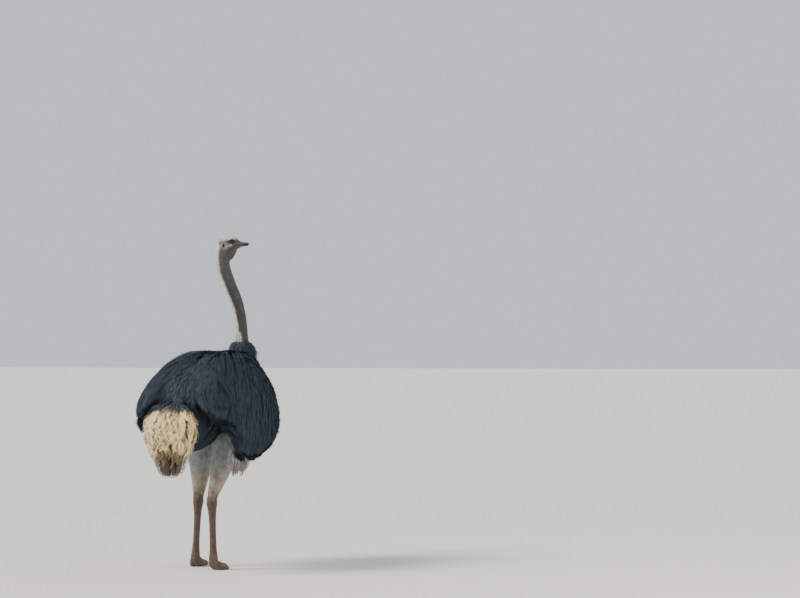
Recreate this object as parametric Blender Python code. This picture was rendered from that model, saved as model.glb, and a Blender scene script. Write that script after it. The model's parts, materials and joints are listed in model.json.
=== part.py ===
# A male Somali ostrich, life size. It stands with its wings drooped away from its sides to cool, the
# left foot ahead of the right, the neck leaning back and the head turned to its right.
# Metres, +Z up. The bird faces -Y, so its left is +X. The origin is on the floor, under the middle of
# its box. The solids of the plumage reach out to the tips of the feathers.

import math

import bmesh
import bpy
from mathutils import Vector

GAP = 0.0003  # between pieces that meet

# Heights above the floor.
HOCK_HEIGHT = 0.495
RUFF_TOP = 1.60
HEAD_HEIGHT = 2.314

# The head, from nape to bill tip, and how far it is turned to the bird's right and its bill raised.
HEAD_LENGTH = 0.232
HEAD_TURN = math.radians(52)
HEAD_TILT = math.radians(5)
NAPE_FORWARD, NAPE_LEFT = 0.288, 0.119
EYE_RADIUS = 0.0215
EYE_ALONG, EYE_SIDE, EYE_UP = 0.094, 0.0285, 0.010

# The legs: the hips are level, and the left hock and foot are ahead of the right.
HIP_FORWARD, HIP_SIDE = 0.045, 0.135
HOCK_SIDE = 0.100
HOCK_FORWARD = {"left": -0.012, "right": -0.170}
FOOT_FORWARD = {"left": -0.032, "right": -0.164}
FOOT_SIDE = 0.112
TOE_JOINT_HEIGHT = 0.066
MAIN_TOE_LENGTH, OUTER_TOE_LENGTH = 0.172, 0.115
MAIN_TOE_SPLAY, OUTER_TOE_SPLAY = math.radians(4), math.radians(32)

# Each table gives a form's stations: the place along it, then its middle and its half sizes there.
# Along the body, by distance ahead of the middle: up, half width, half height.
TRUNK = (
    (-0.53, 1.090, 0.150, 0.170),
    (-0.33, 1.110, 0.255, 0.305),
    (-0.12, 1.208, 0.295, 0.302),
    (0.08, 1.222, 0.305, 0.313),
    (0.27, 1.212, 0.290, 0.313),
    (0.43, 1.222, 0.245, 0.265),
    (0.58, 1.255, 0.155, 0.195),
)
# Along each wing, by distance ahead: side of the top edge, height of the top edge, side of the hem,
# height of the hem, half thickness. The right wing droops lower, in a curtain with a steep rear edge.
WING_INNER = 0.15  # the inner face bulges this share of what the outer one does
WINGS = {
    "right": (
        (-0.55, 0.130, 1.225, 0.300, 1.040, 0.080),
        (-0.46, 0.110, 1.315, 0.345, 1.010, 0.115),
        (-0.372, 0.100, 1.393, 0.376, 0.975, 0.135),
        (-0.356, 0.100, 1.406, 0.382, 0.800, 0.137),
        (-0.12, 0.095, 1.520, 0.395, 0.746, 0.150),
        (0.08, 0.095, 1.538, 0.380, 0.800, 0.158),
        (0.26, 0.100, 1.515, 0.338, 0.845, 0.150),
        (0.40, 0.115, 1.445, 0.303, 0.942, 0.112),
        (0.52, 0.135, 1.335, 0.243, 1.080, 0.060),
    ),
    "left": (
        (-0.55, 0.130, 1.225, 0.295, 1.040, 0.080),
        (-0.46, 0.110, 1.315, 0.335, 1.010, 0.112),
        (-0.37, 0.100, 1.395, 0.362, 0.980, 0.130),
        (-0.25, 0.100, 1.475, 0.384, 0.945, 0.138),
        (-0.12, 0.095, 1.520, 0.392, 0.905, 0.148),
        (0.08, 0.095, 1.538, 0.382, 0.880, 0.155),
        (0.26, 0.100, 1.515, 0.348, 0.900, 0.150),
        (0.40, 0.115, 1.445, 0.311, 0.975, 0.112),
        (0.52, 0.135, 1.335, 0.248, 1.080, 0.060),
    ),
}
# Up the feathered root of the neck, by height: forward, left, half width, half depth.
RUFF = (
    (1.30, 0.385, 0.000, 0.175, 0.175),
    (1.44, 0.435, 0.000, 0.128, 0.138),
    (1.53, 0.445, 0.004, 0.099, 0.114),
    (RUFF_TOP, 0.450, 0.010, 0.084, 0.096),
)
# Up the bare neck, by height: forward, left, half width, half depth.
NECK = (
    (1.52, 0.455, 0.003, 0.048, 0.053),
    (1.64, 0.458, 0.009, 0.042, 0.046),
    (1.76, 0.455, 0.018, 0.041, 0.045),
    (1.89, 0.424, 0.034, 0.0435, 0.047),
    (2.03, 0.362, 0.062, 0.043, 0.048),
    (2.15, 0.318, 0.086, 0.0465, 0.052),
    (2.25, 0.310, 0.089, 0.049, 0.055),
    (2.33, 0.314, 0.088, 0.042, 0.048),
)
NECK_CUT = 1.93  # where the neck is parted into its two lengths
# Up the drooping tail, by height: forward, half width, half depth.
TAIL = (
    (0.655, -0.560, 0.070, 0.050),
    (0.730, -0.564, 0.102, 0.078),
    (0.800, -0.566, 0.134, 0.098),
    (0.870, -0.560, 0.180, 0.118),
    (0.950, -0.552, 0.210, 0.132),
    (1.040, -0.536, 0.206, 0.134),
    (1.130, -0.508, 0.150, 0.112),
    (1.180, -0.480, 0.085, 0.085),
)
TAIL_PLUMES = 8  # lobes round the tail
# Up the white plumes at each wing's tip, by height: forward, side, half thickness, half breadth.
WING_TIPS = {
    "right": (
        (0.655, -0.275, 0.362, 0.018, 0.075),
        (0.710, -0.265, 0.368, 0.032, 0.115),
        (0.790, -0.245, 0.372, 0.040, 0.130),
        (0.880, -0.215, 0.365, 0.042, 0.120),
    ),
    "left": (
        (0.790, -0.125, 0.370, 0.016, 0.055),
        (0.845, -0.112, 0.376, 0.030, 0.095),
        (0.925, -0.095, 0.380, 0.040, 0.120),
        (1.015, -0.070, 0.372, 0.042, 0.120),
    ),
}
# Up the leg from the hock, by share of the way to the hip: half width, half depth.
DRUMSTICK = (
    (0.00, 0.040, 0.046),
    (0.09, 0.045, 0.050),
    (0.22, 0.059, 0.066),
    (0.42, 0.083, 0.094),
    (0.63, 0.096, 0.116),
    (0.84, 0.103, 0.138),
    (1.00, 0.100, 0.140),
)
DRUMSTICK_TOP = 1.04
# Up the tarsus from the toe joint, by share of the way to the hock: half width, half depth.
TARSUS = (
    (-0.06, 0.032, 0.030),
    (0.03, 0.034, 0.034),
    (0.16, 0.024, 0.028),
    (0.50, 0.0215, 0.027),
    (0.78, 0.026, 0.031),
    (0.92, 0.037, 0.041),
    (1.03, 0.040, 0.046),
)
# Along a toe, by share of its length: height of its middle, half width, half height.
MAIN_TOE = (
    (-0.16, 0.060, 0.028, 0.028),
    (0.04, 0.047, 0.032, 0.047),
    (0.24, 0.033, 0.031, 0.038),
    (0.50, 0.021, 0.031, 0.028),
    (0.80, 0.015, 0.029, 0.022),
    (1.00, 0.012, 0.021, 0.016),
)
OUTER_TOE = (
    (-0.15, 0.052, 0.020, 0.022),
    (0.14, 0.034, 0.021, 0.034),
    (0.38, 0.021, 0.020, 0.025),
    (0.72, 0.013, 0.020, 0.018),
    (1.00, 0.010, 0.014, 0.013),
)
CLAW_LENGTH = 0.048
# Along the head from the nape, by share of its length: up, half width, half height.
SKULL = (
    (-0.07, -0.013, 0.031, 0.036),
    (0.02, -0.004, 0.038, 0.046),
    (0.14, 0.001, 0.043, 0.0515),
    (0.30, 0.002, 0.0475, 0.0520),
    (0.44, 0.001, 0.0475, 0.0510),
    (0.56, -0.003, 0.0410, 0.0470),
    (0.66, -0.010, 0.0330, 0.0310),
    (0.74, -0.0130, 0.0285, 0.0195),
)
# Down the slack throat, from chin to neck: along the head, up, half width, half depth.
THROAT = (
    (0.00, 0.134, -0.024, 0.024, 0.016),
    (0.30, 0.113, -0.055, 0.030, 0.024),
    (0.65, 0.088, -0.091, 0.035, 0.025),
    (1.00, 0.064, -0.126, 0.036, 0.022),
)
BILL_START = 0.70  # share of the head's length where the horn of the bill begins
# Along each half of the bill, by share of the head's length: up, half width, half height.
UPPER_BILL = (
    (0.56, -0.0050, 0.0300, 0.0140),
    (0.70, -0.0068, 0.0300, 0.0125),
    (0.82, -0.0100, 0.0255, 0.0096),
    (0.92, -0.0118, 0.0205, 0.0078),
    (1.00, -0.0140, 0.0150, 0.0058),
)
LOWER_BILL = (
    (0.56, -0.0275, 0.0290, 0.0075),
    (0.70, -0.0262, 0.0275, 0.0072),
    (0.82, -0.0252, 0.0235, 0.0062),
    (0.92, -0.0246, 0.0185, 0.0052),
    (0.985, -0.0244, 0.0130, 0.0042),
)


def at(forward, left, up):
    return Vector((left, -forward, up))


def station(rows, place):
    """The table's values at a place, on a smooth curve through its rows."""
    last = len(rows) - 1
    i = next((k for k in range(last) if place <= rows[k + 1][0]), last - 1)
    near, far = rows[i], rows[i + 1]
    width = far[0] - near[0]
    s = (place - near[0]) / width

    def slope(k, column):
        before, after = rows[max(k - 1, 0)], rows[min(k + 1, last)]
        return (after[column] - before[column]) / (after[0] - before[0])

    return [
        (2 * s**3 - 3 * s**2 + 1) * near[c]
        + (s**3 - 2 * s**2 + s) * width * slope(i, c)
        + (3 * s**2 - 2 * s**3) * far[c]
        + (s**3 - s**2) * width * slope(i + 1, c)
        for c in range(1, len(near))
    ]


def dome(distance, length):
    """How far a form has swelled at a distance from its rounded end."""
    if length <= 0 or distance >= length:
        return 1.0
    return math.sqrt(max(0.0, 1 - (1 - distance / length) ** 2))


def eased_places(start, end, rings):
    """Places along a form, closer together towards its ends."""
    return [start + (end - start) * (0.5 - 0.5 * math.cos(math.pi * k / rings)) for k in range(rings + 1)]


def row_places(rows, widest):
    """A table's own places, a place between rows that are far apart, and more at the rounded ends."""
    places = [row[0] for row in rows]
    places += [(near[0] + far[0]) / 2 for near, far in zip(rows, rows[1:]) if far[0] - near[0] > widest]
    for inset in (0.012, 0.042):
        places += [rows[0][0] + inset, rows[-1][0] - inset]
    return sorted(places)


def oval(middle, side_axis, up_axis, half_side, half_up, segments, boxiness=2.0, ripple=None, inner=1.0):
    """A closed ring; a boxiness over 2 squares it a little, an inner under 1 flattens its second side."""
    ring = []
    for k in range(segments):
        angle = 2 * math.pi * k / segments
        c, s = math.cos(angle), math.sin(angle)
        reach = (abs(c) ** boxiness + abs(s) ** boxiness) ** (-1 / boxiness)
        if ripple:
            reach *= ripple(angle)
        bulge = half_side if c > 0 else half_side * inner
        ring.append(middle + side_axis * (bulge * reach * c) + up_axis * (half_up * reach * s))
    return ring


def skin_over(name, rings, colour, roughness):
    """One closed mesh over a row of rings, with a point at each end."""
    mesh = bpy.data.meshes.new(name)
    bm = bmesh.new()
    loops = [[bm.verts.new(p) for p in ring] for ring in rings]
    for near, far in zip(loops, loops[1:]):
        for k in range(len(near)):
            n = (k + 1) % len(near)
            bm.faces.new((near[k], near[n], far[n], far[k]))
    for loop in (loops[0], loops[-1]):
        tip = bm.verts.new(sum((v.co for v in loop), Vector()) / len(loop))
        for k in range(len(loop)):
            bm.faces.new((loop[k], loop[(k + 1) % len(loop)], tip))
    bmesh.ops.recalc_face_normals(bm, faces=bm.faces)
    bmesh.ops.triangulate(bm, faces=bm.faces)
    bm.to_mesh(mesh)
    bm.free()
    mesh.shade_smooth()
    obj = bpy.data.objects.new(name, mesh)
    bpy.context.scene.collection.objects.link(obj)
    paint(obj, colour, roughness)
    return obj


def paint(obj, colour, roughness):
    material = bpy.data.materials.new(obj.name)
    material.use_nodes = True
    shader = material.node_tree.nodes["Principled BSDF"]
    shader.inputs["Base Color"].default_value = (*colour, 1)
    shader.inputs["Roughness"].default_value = roughness
    shader.inputs["Metallic"].default_value = 0
    material.diffuse_color = (*colour, 1)
    obj.data.materials.clear()
    obj.data.materials.append(material)


def keep_main_body(obj):
    """Deletes the crumbs that a cut leaves beside the main body."""
    bm = bmesh.new()
    bm.from_mesh(obj.data)
    left = set(bm.verts)
    bodies = []
    while left:
        body, front = set(), [left.pop()]
        while front:
            v = front.pop()
            body.add(v)
            for edge in v.link_edges:
                other = edge.other_vert(v)
                if other in left:
                    left.discard(other)
                    front.append(other)
        bodies.append(body)
    bodies.sort(key=len)
    crumbs = [v for body in bodies[:-1] for v in body]
    bmesh.ops.delete(bm, geom=crumbs, context="VERTS")
    bm.to_mesh(obj.data)
    bm.free()


def fit(obj, *neighbours):
    """Cuts obj back from its neighbours, with a gap all over where they meet."""
    for neighbour in neighbours:
        cutter = neighbour.copy()
        cutter.data = neighbour.data.copy()
        cutter.name = "cutter"
        bpy.context.scene.collection.objects.link(cutter)
        bm = bmesh.new()
        bm.from_mesh(cutter.data)
        bm.normal_update()
        for v in bm.verts:
            v.co += v.normal * GAP * 1.3
        bm.to_mesh(cutter.data)
        bm.free()
        cut = obj.modifiers.new("cut", "BOOLEAN")
        cut.operation = "DIFFERENCE"
        cut.solver = "EXACT"
        cut.object = cutter
        bpy.context.view_layer.update()
        graph = bpy.context.evaluated_depsgraph_get()
        whole = bpy.data.meshes.new_from_object(obj.evaluated_get(graph))
        obj.modifiers.clear()
        obj.data = whole
        keep_main_body(obj)
        bpy.data.objects.remove(cutter)


def rest_on_floor(obj, level=0.0):
    """Flattens what would reach below the floor."""
    for v in obj.data.vertices:
        v.co.z = max(v.co.z, level)


def make_trunk():
    rings = []
    for place in eased_places(TRUNK[0][0], TRUNK[-1][0], 15):
        up, half_width, half_height = station(TRUNK, place)
        swell = min(dome(place - TRUNK[0][0] + 0.004, 0.13), dome(TRUNK[-1][0] - place + 0.004, 0.16))
        rings.append(
            oval(at(place, 0, up), Vector((1, 0, 0)), Vector((0, 0, 1)), half_width * swell,
                 half_height * swell, 20, 2.15)
        )
    return skin_over("trunk", rings, (0.016, 0.018, 0.022), 0.85)


def make_wing(side, sign):
    rings = []
    rows = WINGS[side]
    for place in row_places(rows, 0.13):
        top_side, top_up, hem_side, hem_up, half_thick = station(rows, place)
        swell = min(dome(place - rows[0][0] + 0.003, 0.10), dome(rows[-1][0] - place + 0.003, 0.10))
        top, hem = at(place, sign * top_side, top_up), at(place, sign * hem_side, hem_up)
        down = (hem - top) / 2
        across = Vector((-down.z, 0, down.x)).normalized() * sign
        rings.append(
            oval((top + hem) / 2, across, down.normalized(), half_thick * swell, down.length * swell, 16, 2.1,
                 inner=WING_INNER)
        )
    return skin_over("wing_" + side, rings, (0.015, 0.017, 0.021), 0.85)


def make_ruff():
    rings = []
    for place in eased_places(RUFF[0][0], RUFF[-1][0], 8):
        forward, left, half_width, half_depth = station(RUFF, place)
        swell = dome(RUFF[-1][0] - place + 0.002, 0.05)
        rings.append(
            oval(at(forward, left, place), Vector((1, 0, 0)), Vector((0, 1, 0)), half_width * swell,
                 half_depth * swell, 16)
        )
    return skin_over("neck_root", rings, (0.016, 0.018, 0.022), 0.85)


def neck_rings(start, end, count):
    """Rings square to the neck's own line."""
    rings = []
    for k in range(count + 1):
        place = start + (end - start) * k / count
        forward, left, half_width, half_depth = station(NECK, place)
        ahead, beside, _, _ = station(NECK, min(place + 0.01, NECK[-1][0]))
        behind, beyond, _, _ = station(NECK, max(place - 0.01, NECK[0][0]))
        line = (at(ahead, beside, place + 0.01) - at(behind, beyond, place - 0.01)).normalized()
        depth_axis = line.cross(Vector((1, 0, 0))).normalized()
        width_axis = depth_axis.cross(line)
        rings.append(oval(at(forward, left, place), width_axis, depth_axis, half_width, half_depth, 16))
    return rings


def make_neck():
    bottom, top = NECK[0][0] + 0.01, NECK[-1][0] - 0.01
    lower = skin_over("neck_lower", neck_rings(bottom, NECK_CUT - GAP, 7), (0.30, 0.27, 0.25), 0.7)
    upper = skin_over("neck_upper", neck_rings(NECK_CUT + GAP, top, 8), (0.36, 0.31, 0.29), 0.7)
    return lower, upper


def tail_ripple(angle):
    return 1 + 0.05 * math.cos(TAIL_PLUMES * angle)


def make_tail():
    rings = []
    for place in eased_places(TAIL[0][0], TAIL[-1][0], 11):
        forward, half_width, half_depth = station(TAIL, place)
        swell = min(dome(place - TAIL[0][0] + 0.003, 0.05), dome(TAIL[-1][0] - place + 0.003, 0.06))
        rings.append(
            oval(at(forward, 0, place), Vector((1, 0, 0)), Vector((0, 1, 0)), half_width * swell,
                 half_depth * swell, 24, 2.0, tail_ripple)
        )
    return skin_over("tail", rings, (0.72, 0.62, 0.47), 0.9)


def make_wing_tip(side, sign):
    rings = []
    rows = WING_TIPS[side]
    for place in eased_places(rows[0][0], rows[-1][0], 8):
        forward, beside, half_thick, half_breadth = station(rows, place)
        swell = min(dome(place - rows[0][0] + 0.002, 0.04), dome(rows[-1][0] - place + 0.002, 0.03))
        rings.append(
            oval(at(forward, sign * beside, place), Vector((1, 0, 0)), Vector((0, 1, 0)), half_thick * swell,
                 half_breadth * swell, 12)
        )
    return skin_over("wing_tip_" + side, rings, (0.66, 0.62, 0.55), 0.9)


def make_drumstick(side, sign):
    rings = []
    hock_forward = HOCK_FORWARD[side]
    for share in eased_places(DRUMSTICK[0][0], DRUMSTICK[-1][0], 11):
        half_width, half_depth = station(DRUMSTICK, share)
        bow = 0.035 * math.sin(math.pi * share)  # the muscle swells to the front of the bone
        forward = hock_forward + (HIP_FORWARD - hock_forward) * share + bow
        beside = HOCK_SIDE + (HIP_SIDE - HOCK_SIDE) * share
        up = HOCK_HEIGHT + GAP + (DRUMSTICK_TOP - HOCK_HEIGHT) * share
        swell = dome((1 - share) + 0.01, 0.18)
        rings.append(
            oval(at(forward, sign * beside, up), Vector((1, 0, 0)), Vector((0, 1, 0)), half_width * swell,
                 half_depth * swell, 18)
        )
    return skin_over("thigh_" + side, rings, (0.33, 0.36, 0.38), 0.65)


def make_tarsus(side, sign):
    rings = []
    foot = at(FOOT_FORWARD[side], sign * FOOT_SIDE, TOE_JOINT_HEIGHT)
    hock = at(HOCK_FORWARD[side], sign * HOCK_SIDE, HOCK_HEIGHT)
    for k in range(12):
        share = TARSUS[0][0] + (TARSUS[-1][0] - TARSUS[0][0]) * k / 11
        half_width, half_depth = station(TARSUS, share)
        middle = foot.lerp(hock, min(share, 1.0))
        middle.z = foot.z + (hock.z - foot.z) * share
        rings.append(oval(middle, Vector((1, 0, 0)), Vector((0, 1, 0)), half_width, half_depth, 12, 2.3))
    return skin_over("tarsus_" + side, rings, (0.50, 0.33, 0.28), 0.6)


def make_toe(name, side, sign, rows, length, splay, offset):
    """A toe that comes down from its joint and lies flat on the floor."""
    rings = []
    ahead = at(math.cos(splay), sign * math.sin(splay), 0)
    across = at(-math.sin(splay), sign * math.cos(splay), 0)
    joint = at(FOOT_FORWARD[side], sign * FOOT_SIDE, 0) + across * offset
    for share in eased_places(rows[0][0], rows[-1][0], 8):
        up, half_width, half_height = station(rows, share)
        from_joint, from_tip = (share - rows[0][0]) * length, (1 - share) * length
        swell = min(dome(from_joint + 0.001, 0.02), dome(from_tip + 0.001, 0.02))
        middle = joint + ahead * (length * share) + Vector((0, 0, up))
        rings.append(
            oval(middle, across, Vector((0, 0, 1)), half_width * swell, half_height * swell, 12, 2.3)
        )
    toe = skin_over(f"{name}_{side}", rings, (0.46, 0.32, 0.28), 0.7)
    rest_on_floor(toe)
    tip = joint + ahead * length
    return toe, tip, ahead, across


def make_claw(side, tip, ahead, across):
    """The blunt nail of the main toe."""
    rings = []
    for k in range(6):
        share = k / 5
        shrink = 1 - 0.82 * share**1.4
        middle = tip + ahead * (CLAW_LENGTH * (share - 0.42)) + Vector((0, 0, 0.017 - 0.010 * share))
        rings.append(oval(middle, across, Vector((0, 0, 1)), 0.0135 * shrink, 0.012 * shrink, 10))
    claw = skin_over("claw_" + side, rings, (0.10, 0.09, 0.08), 0.4)
    rest_on_floor(claw, 0.0008)
    return claw


def make_throat():
    rings = []
    chin, neck = (at(row[1], 0, row[2]) for row in (THROAT[0], THROAT[-1]))
    line = (neck - chin).normalized()
    side_axis = Vector((1, 0, 0))
    for share in eased_places(THROAT[0][0], THROAT[-1][0], 7):
        along, up, half_width, half_depth = station(THROAT, share)
        length = (neck - chin).length
        swell = min(dome(share * length + 0.001, 0.030), dome((1 - share) * length + 0.001, 0.040))
        rings.append(
            oval(at(along, 0, up), side_axis, line.cross(side_axis), half_width * swell, half_depth * swell, 14)
        )
    return skin_over("throat", rings, (0.30, 0.26, 0.25), 0.7)


def make_head():
    """The skull, the two halves of the bill and the eyes, in the head's own frame, its nape at the origin."""
    side_axis, up_axis = Vector((1, 0, 0)), Vector((0, 0, 1))

    def lofted(name, rows, rings, segments, boxiness, ends, colour, roughness):
        made = []
        for share in eased_places(rows[0][0], rows[-1][0], rings):
            up, half_width, half_height = station(rows, share)
            along = share * HEAD_LENGTH
            swell = min(
                dome(along - rows[0][0] * HEAD_LENGTH + 0.001, ends[0]),
                dome(rows[-1][0] * HEAD_LENGTH - along + 0.001, ends[1]),
            )
            made.append(
                oval(at(along, 0, up), side_axis, up_axis, half_width * swell, half_height * swell, segments,
                     boxiness)
            )
        return skin_over(name, made, colour, roughness)

    skull = lofted("head", SKULL, 13, 18, 2.2, (0.024, 0.006), (0.52, 0.43, 0.39), 0.7)
    upper = lofted("bill_upper", UPPER_BILL, 7, 12, 2.2, (0.004, 0.016), (0.47, 0.33, 0.28), 0.45)
    lower = lofted("bill_lower", LOWER_BILL, 7, 10, 2.2, (0.004, 0.014), (0.45, 0.32, 0.27), 0.45)
    eyes = []
    for side, sign in (("left", 1), ("right", -1)):
        rings = []
        for k in range(1, 8):
            angle = math.pi * k / 8
            middle = at(EYE_ALONG, sign * (EYE_SIDE + EYE_RADIUS * math.cos(angle)), EYE_UP)
            radius = EYE_RADIUS * math.sin(angle)
            rings.append(oval(middle, Vector((0, 1, 0)), up_axis, radius, radius, 10))
        eyes.append(skin_over("eye_" + side, rings, (0.03, 0.018, 0.012), 0.12))
    fit(skull, upper, lower, *eyes)
    fit(lower, upper)
    throat = make_throat()
    fit(throat, skull, lower)
    return skull, throat, upper, lower, *eyes


def main():
    for obj in list(bpy.data.objects):
        bpy.data.objects.remove(obj)
    ostrich = bpy.data.objects.new("ostrich", None)
    bpy.context.scene.collection.objects.link(ostrich)

    head_parts = make_head()
    for piece in head_parts:
        piece.location = at(NAPE_FORWARD, NAPE_LEFT, HEAD_HEIGHT)
        piece.rotation_euler = (-HEAD_TILT, 0, -HEAD_TURN)
    trunk = make_trunk()
    ruff = make_ruff()
    neck_lower, neck_upper = make_neck()
    tail = make_tail()
    bpy.context.view_layer.update()
    fit(ruff, trunk)
    fit(neck_lower, ruff, trunk)
    fit(neck_upper, head_parts[0], head_parts[1])

    pieces = [*head_parts, trunk, ruff, neck_lower, neck_upper, tail]
    wings = []
    for side, sign in (("left", 1), ("right", -1)):
        thigh = make_drumstick(side, sign)
        tarsus = make_tarsus(side, sign)
        main_toe, tip, ahead, across = make_toe(
            "toe_main", side, sign, MAIN_TOE, MAIN_TOE_LENGTH, MAIN_TOE_SPLAY, -0.006
        )
        outer_toe, *_ = make_toe(
            "toe_outer", side, sign, OUTER_TOE, OUTER_TOE_LENGTH, OUTER_TOE_SPLAY, 0.018
        )
        claw = make_claw(side, tip, ahead, across)
        wing = make_wing(side, sign)
        wing_tip = make_wing_tip(side, sign)
        fit(thigh, trunk)
        fit(tarsus, thigh)
        fit(main_toe, tarsus, claw)
        fit(outer_toe, tarsus, main_toe)
        fit(wing, trunk, ruff, thigh)
        fit(wing_tip, wing, thigh)
        wings.append(wing)
        pieces += [thigh, tarsus, main_toe, outer_toe, claw, wing, wing_tip]
    fit(tail, trunk, *wings)

    for piece in pieces:
        piece.parent = ostrich
    corners = [piece.matrix_world @ v.co for piece in pieces for v in piece.data.vertices]
    ostrich.location.x = -(min(p.x for p in corners) + max(p.x for p in corners)) / 2
    ostrich.location.y = -(min(p.y for p in corners) + max(p.y for p in corners)) / 2
    ostrich.location.z = -min(p.z for p in corners)


main()
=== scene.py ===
# The looks of a male Somali ostrich, life size: one bare skin under loose black plumes, cream tail
# plumes, white plumes at the wing tips, the horn of bill and claws, eyes, and plates down the legs.
# Metres, +Z up. The bird faces -Y and its left is +X.
import json
import math

import bpy
import numpy as np
from mathutils import Matrix, Vector
from mathutils.bvhtree import BVHTree

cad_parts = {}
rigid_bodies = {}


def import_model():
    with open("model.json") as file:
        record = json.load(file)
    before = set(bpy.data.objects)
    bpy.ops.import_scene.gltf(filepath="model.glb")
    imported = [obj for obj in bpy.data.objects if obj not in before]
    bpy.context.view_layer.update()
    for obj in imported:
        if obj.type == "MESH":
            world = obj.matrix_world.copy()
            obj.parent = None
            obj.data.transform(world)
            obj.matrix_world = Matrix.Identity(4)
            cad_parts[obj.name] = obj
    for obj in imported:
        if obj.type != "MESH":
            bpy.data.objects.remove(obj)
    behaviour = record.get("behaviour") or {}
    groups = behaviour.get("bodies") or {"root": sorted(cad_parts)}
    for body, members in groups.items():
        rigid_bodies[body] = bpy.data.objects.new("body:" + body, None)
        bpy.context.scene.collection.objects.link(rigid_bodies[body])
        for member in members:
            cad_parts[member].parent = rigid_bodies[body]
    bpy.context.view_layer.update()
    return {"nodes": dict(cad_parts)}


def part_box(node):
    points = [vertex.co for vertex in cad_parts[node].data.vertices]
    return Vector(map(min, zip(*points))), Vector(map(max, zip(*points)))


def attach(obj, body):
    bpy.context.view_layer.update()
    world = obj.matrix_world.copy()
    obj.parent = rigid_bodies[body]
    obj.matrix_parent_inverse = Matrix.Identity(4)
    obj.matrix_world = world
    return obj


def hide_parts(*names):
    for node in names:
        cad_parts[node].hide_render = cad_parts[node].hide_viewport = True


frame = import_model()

nodes = frame["nodes"]

# ---- places taken from the frame ----
trunkLow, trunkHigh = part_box("trunk")
birdX = (trunkLow.x + trunkHigh.x) / 2
birdY = (trunkLow.y + trunkHigh.y) / 2 + 0.025  # the trunk reaches 25 mm further ahead than behind


def at(forward, left, up):
    return Vector((birdX + left, birdY - forward, up))


def boxMiddle(node):
    low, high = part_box(node)
    return (low + high) / 2


headTilt = math.radians(5)  # the bill is raised
eyeForm = {"radius": 0.0215, "along": 0.094, "up": 0.010, "side": 0.0285}
eyeLeft, eyeRight = boxMiddle("eye_left"), boxMiddle("eye_right")
headSide = (eyeLeft - eyeRight).normalized()
# the head's own frame: x to its left, -y ahead, z up, with the nape near the origin
headPlace = Matrix.Rotation(math.atan2(headSide.y, headSide.x), 4, "Z") @ Matrix.Rotation(-headTilt, 4, "X")
headAhead = headPlace @ Vector((0, -1, 0))
nape = (eyeLeft + eyeRight) / 2 - headPlace @ Vector((0, -eyeForm["along"], eyeForm["up"]))
headPlace = Matrix.Translation(nape) @ headPlace
headTurn, headBase = np.array(headPlace.to_3x3()), np.array(headPlace.translation)


# ---- small helpers ----
def srgb(code):
    channels = [int(code[i:i + 2], 16) / 255 for i in (1, 3, 5)]
    linear = [c / 12.92 if c <= 0.04045 else ((c + 0.055) / 1.055) ** 2.4 for c in channels]
    return (*linear, 1.0)


# sets a node's inputs and options: outputs of other nodes are linked, and codes turned into colours
def setNode(tree, node, values):
    for name, value in values.items():
        if name == "ramp":
            elements = node.color_ramp.elements
            while len(elements) < len(value):
                elements.new(0.5)
            for element, (place, code) in zip(elements, value):
                element.position = place
                element.color = srgb(code)
        elif isinstance(value, bpy.types.NodeSocket):
            tree.links.new(value, node.inputs[name])
        elif isinstance(name, int) or name in node.inputs:
            node.inputs[name].default_value = srgb(value) if isinstance(value, str) else value
        else:
            setattr(node, name, value)
    return node


def addNode(tree, kind, values):
    return setNode(tree, tree.nodes.new("ShaderNode" + kind), values)


def readAttribute(tree, name, output="Fac"):
    return addNode(tree, "Attribute", {"attribute_name": name}).outputs[output]


def placeOn(tree):
    return addNode(tree, "TexCoord", {}).outputs["Object"]


# noise with features of the given size in metres
def addNoise(tree, place, size, detail, **more):
    values = {"Scale": 1 / size, "Detail": detail, "Vector": place, **more}
    return addNode(tree, "TexNoise", values).outputs["Fac"]


def addRamp(tree, source, *stops):
    return addNode(tree, "ValToRGB", {"ramp": stops, "Fac": source}).outputs[0]


def mixColours(tree, share, under, over, way="MIX"):
    values = {"data_type": "RGBA", "blend_type": way, 0: share, 6: under, 7: over}
    return addNode(tree, "Mix", values).outputs[2]


def darken(tree, share, tone, shade):
    return mixColours(tree, share, tone, shade, "MULTIPLY")


def calculate(tree, way, *values, clamp=False):
    settings = {"operation": way, "use_clamp": clamp, **dict(enumerate(values))}
    return addNode(tree, "Math", settings).outputs[0]


def mapRange(tree, source, low, high, start, end):
    values = {"From Min": low, "From Max": high, "To Min": start, "To Max": end, "Value": source}
    return addNode(tree, "MapRange", values).outputs[0]


def addBump(tree, height, strength, depth, **more):
    values = {"Strength": strength, "Distance": depth, "Height": height, **more}
    return addNode(tree, "Bump", values).outputs[0]


def newMaterial(name):
    material = bpy.data.materials.new(name)
    material.use_nodes = True
    tree = material.node_tree
    return material, tree, tree.nodes["Principled BSDF"]


def selectOnly(obj):
    bpy.ops.object.select_all(action="DESELECT")
    obj.select_set(True)
    bpy.context.view_layer.objects.active = obj


def applyModifier(obj, kind, **settings):
    selectOnly(obj)
    modifier = obj.modifiers.new(kind.lower(), kind)
    for name, value in settings.items():
        setattr(modifier, name, value)
    bpy.ops.object.modifier_apply(modifier=modifier.name)


def ease(value, low, high):
    t = np.clip((value - low) / (high - low), 0, 1)
    return t * t * (3 - 2 * t)


def unit(rows):
    return rows / np.maximum(np.linalg.norm(rows, axis=-1, keepdims=True), 1e-9)


def dot(a, b):
    return (a * b).sum(-1, keepdims=True)


# smooth random numbers, about -1 to 1, that change over the given size in metres
def drift(points, size, seed):
    turn = np.random.default_rng(seed)
    total = np.zeros(len(points))
    for _ in range(7):
        along = unit(turn.normal(size=3)) * turn.uniform(0.6, 1.6) * 2 * math.pi / size
        total += np.sin(points @ along + turn.uniform(0, 2 * math.pi))
    return total / 2.6


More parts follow.
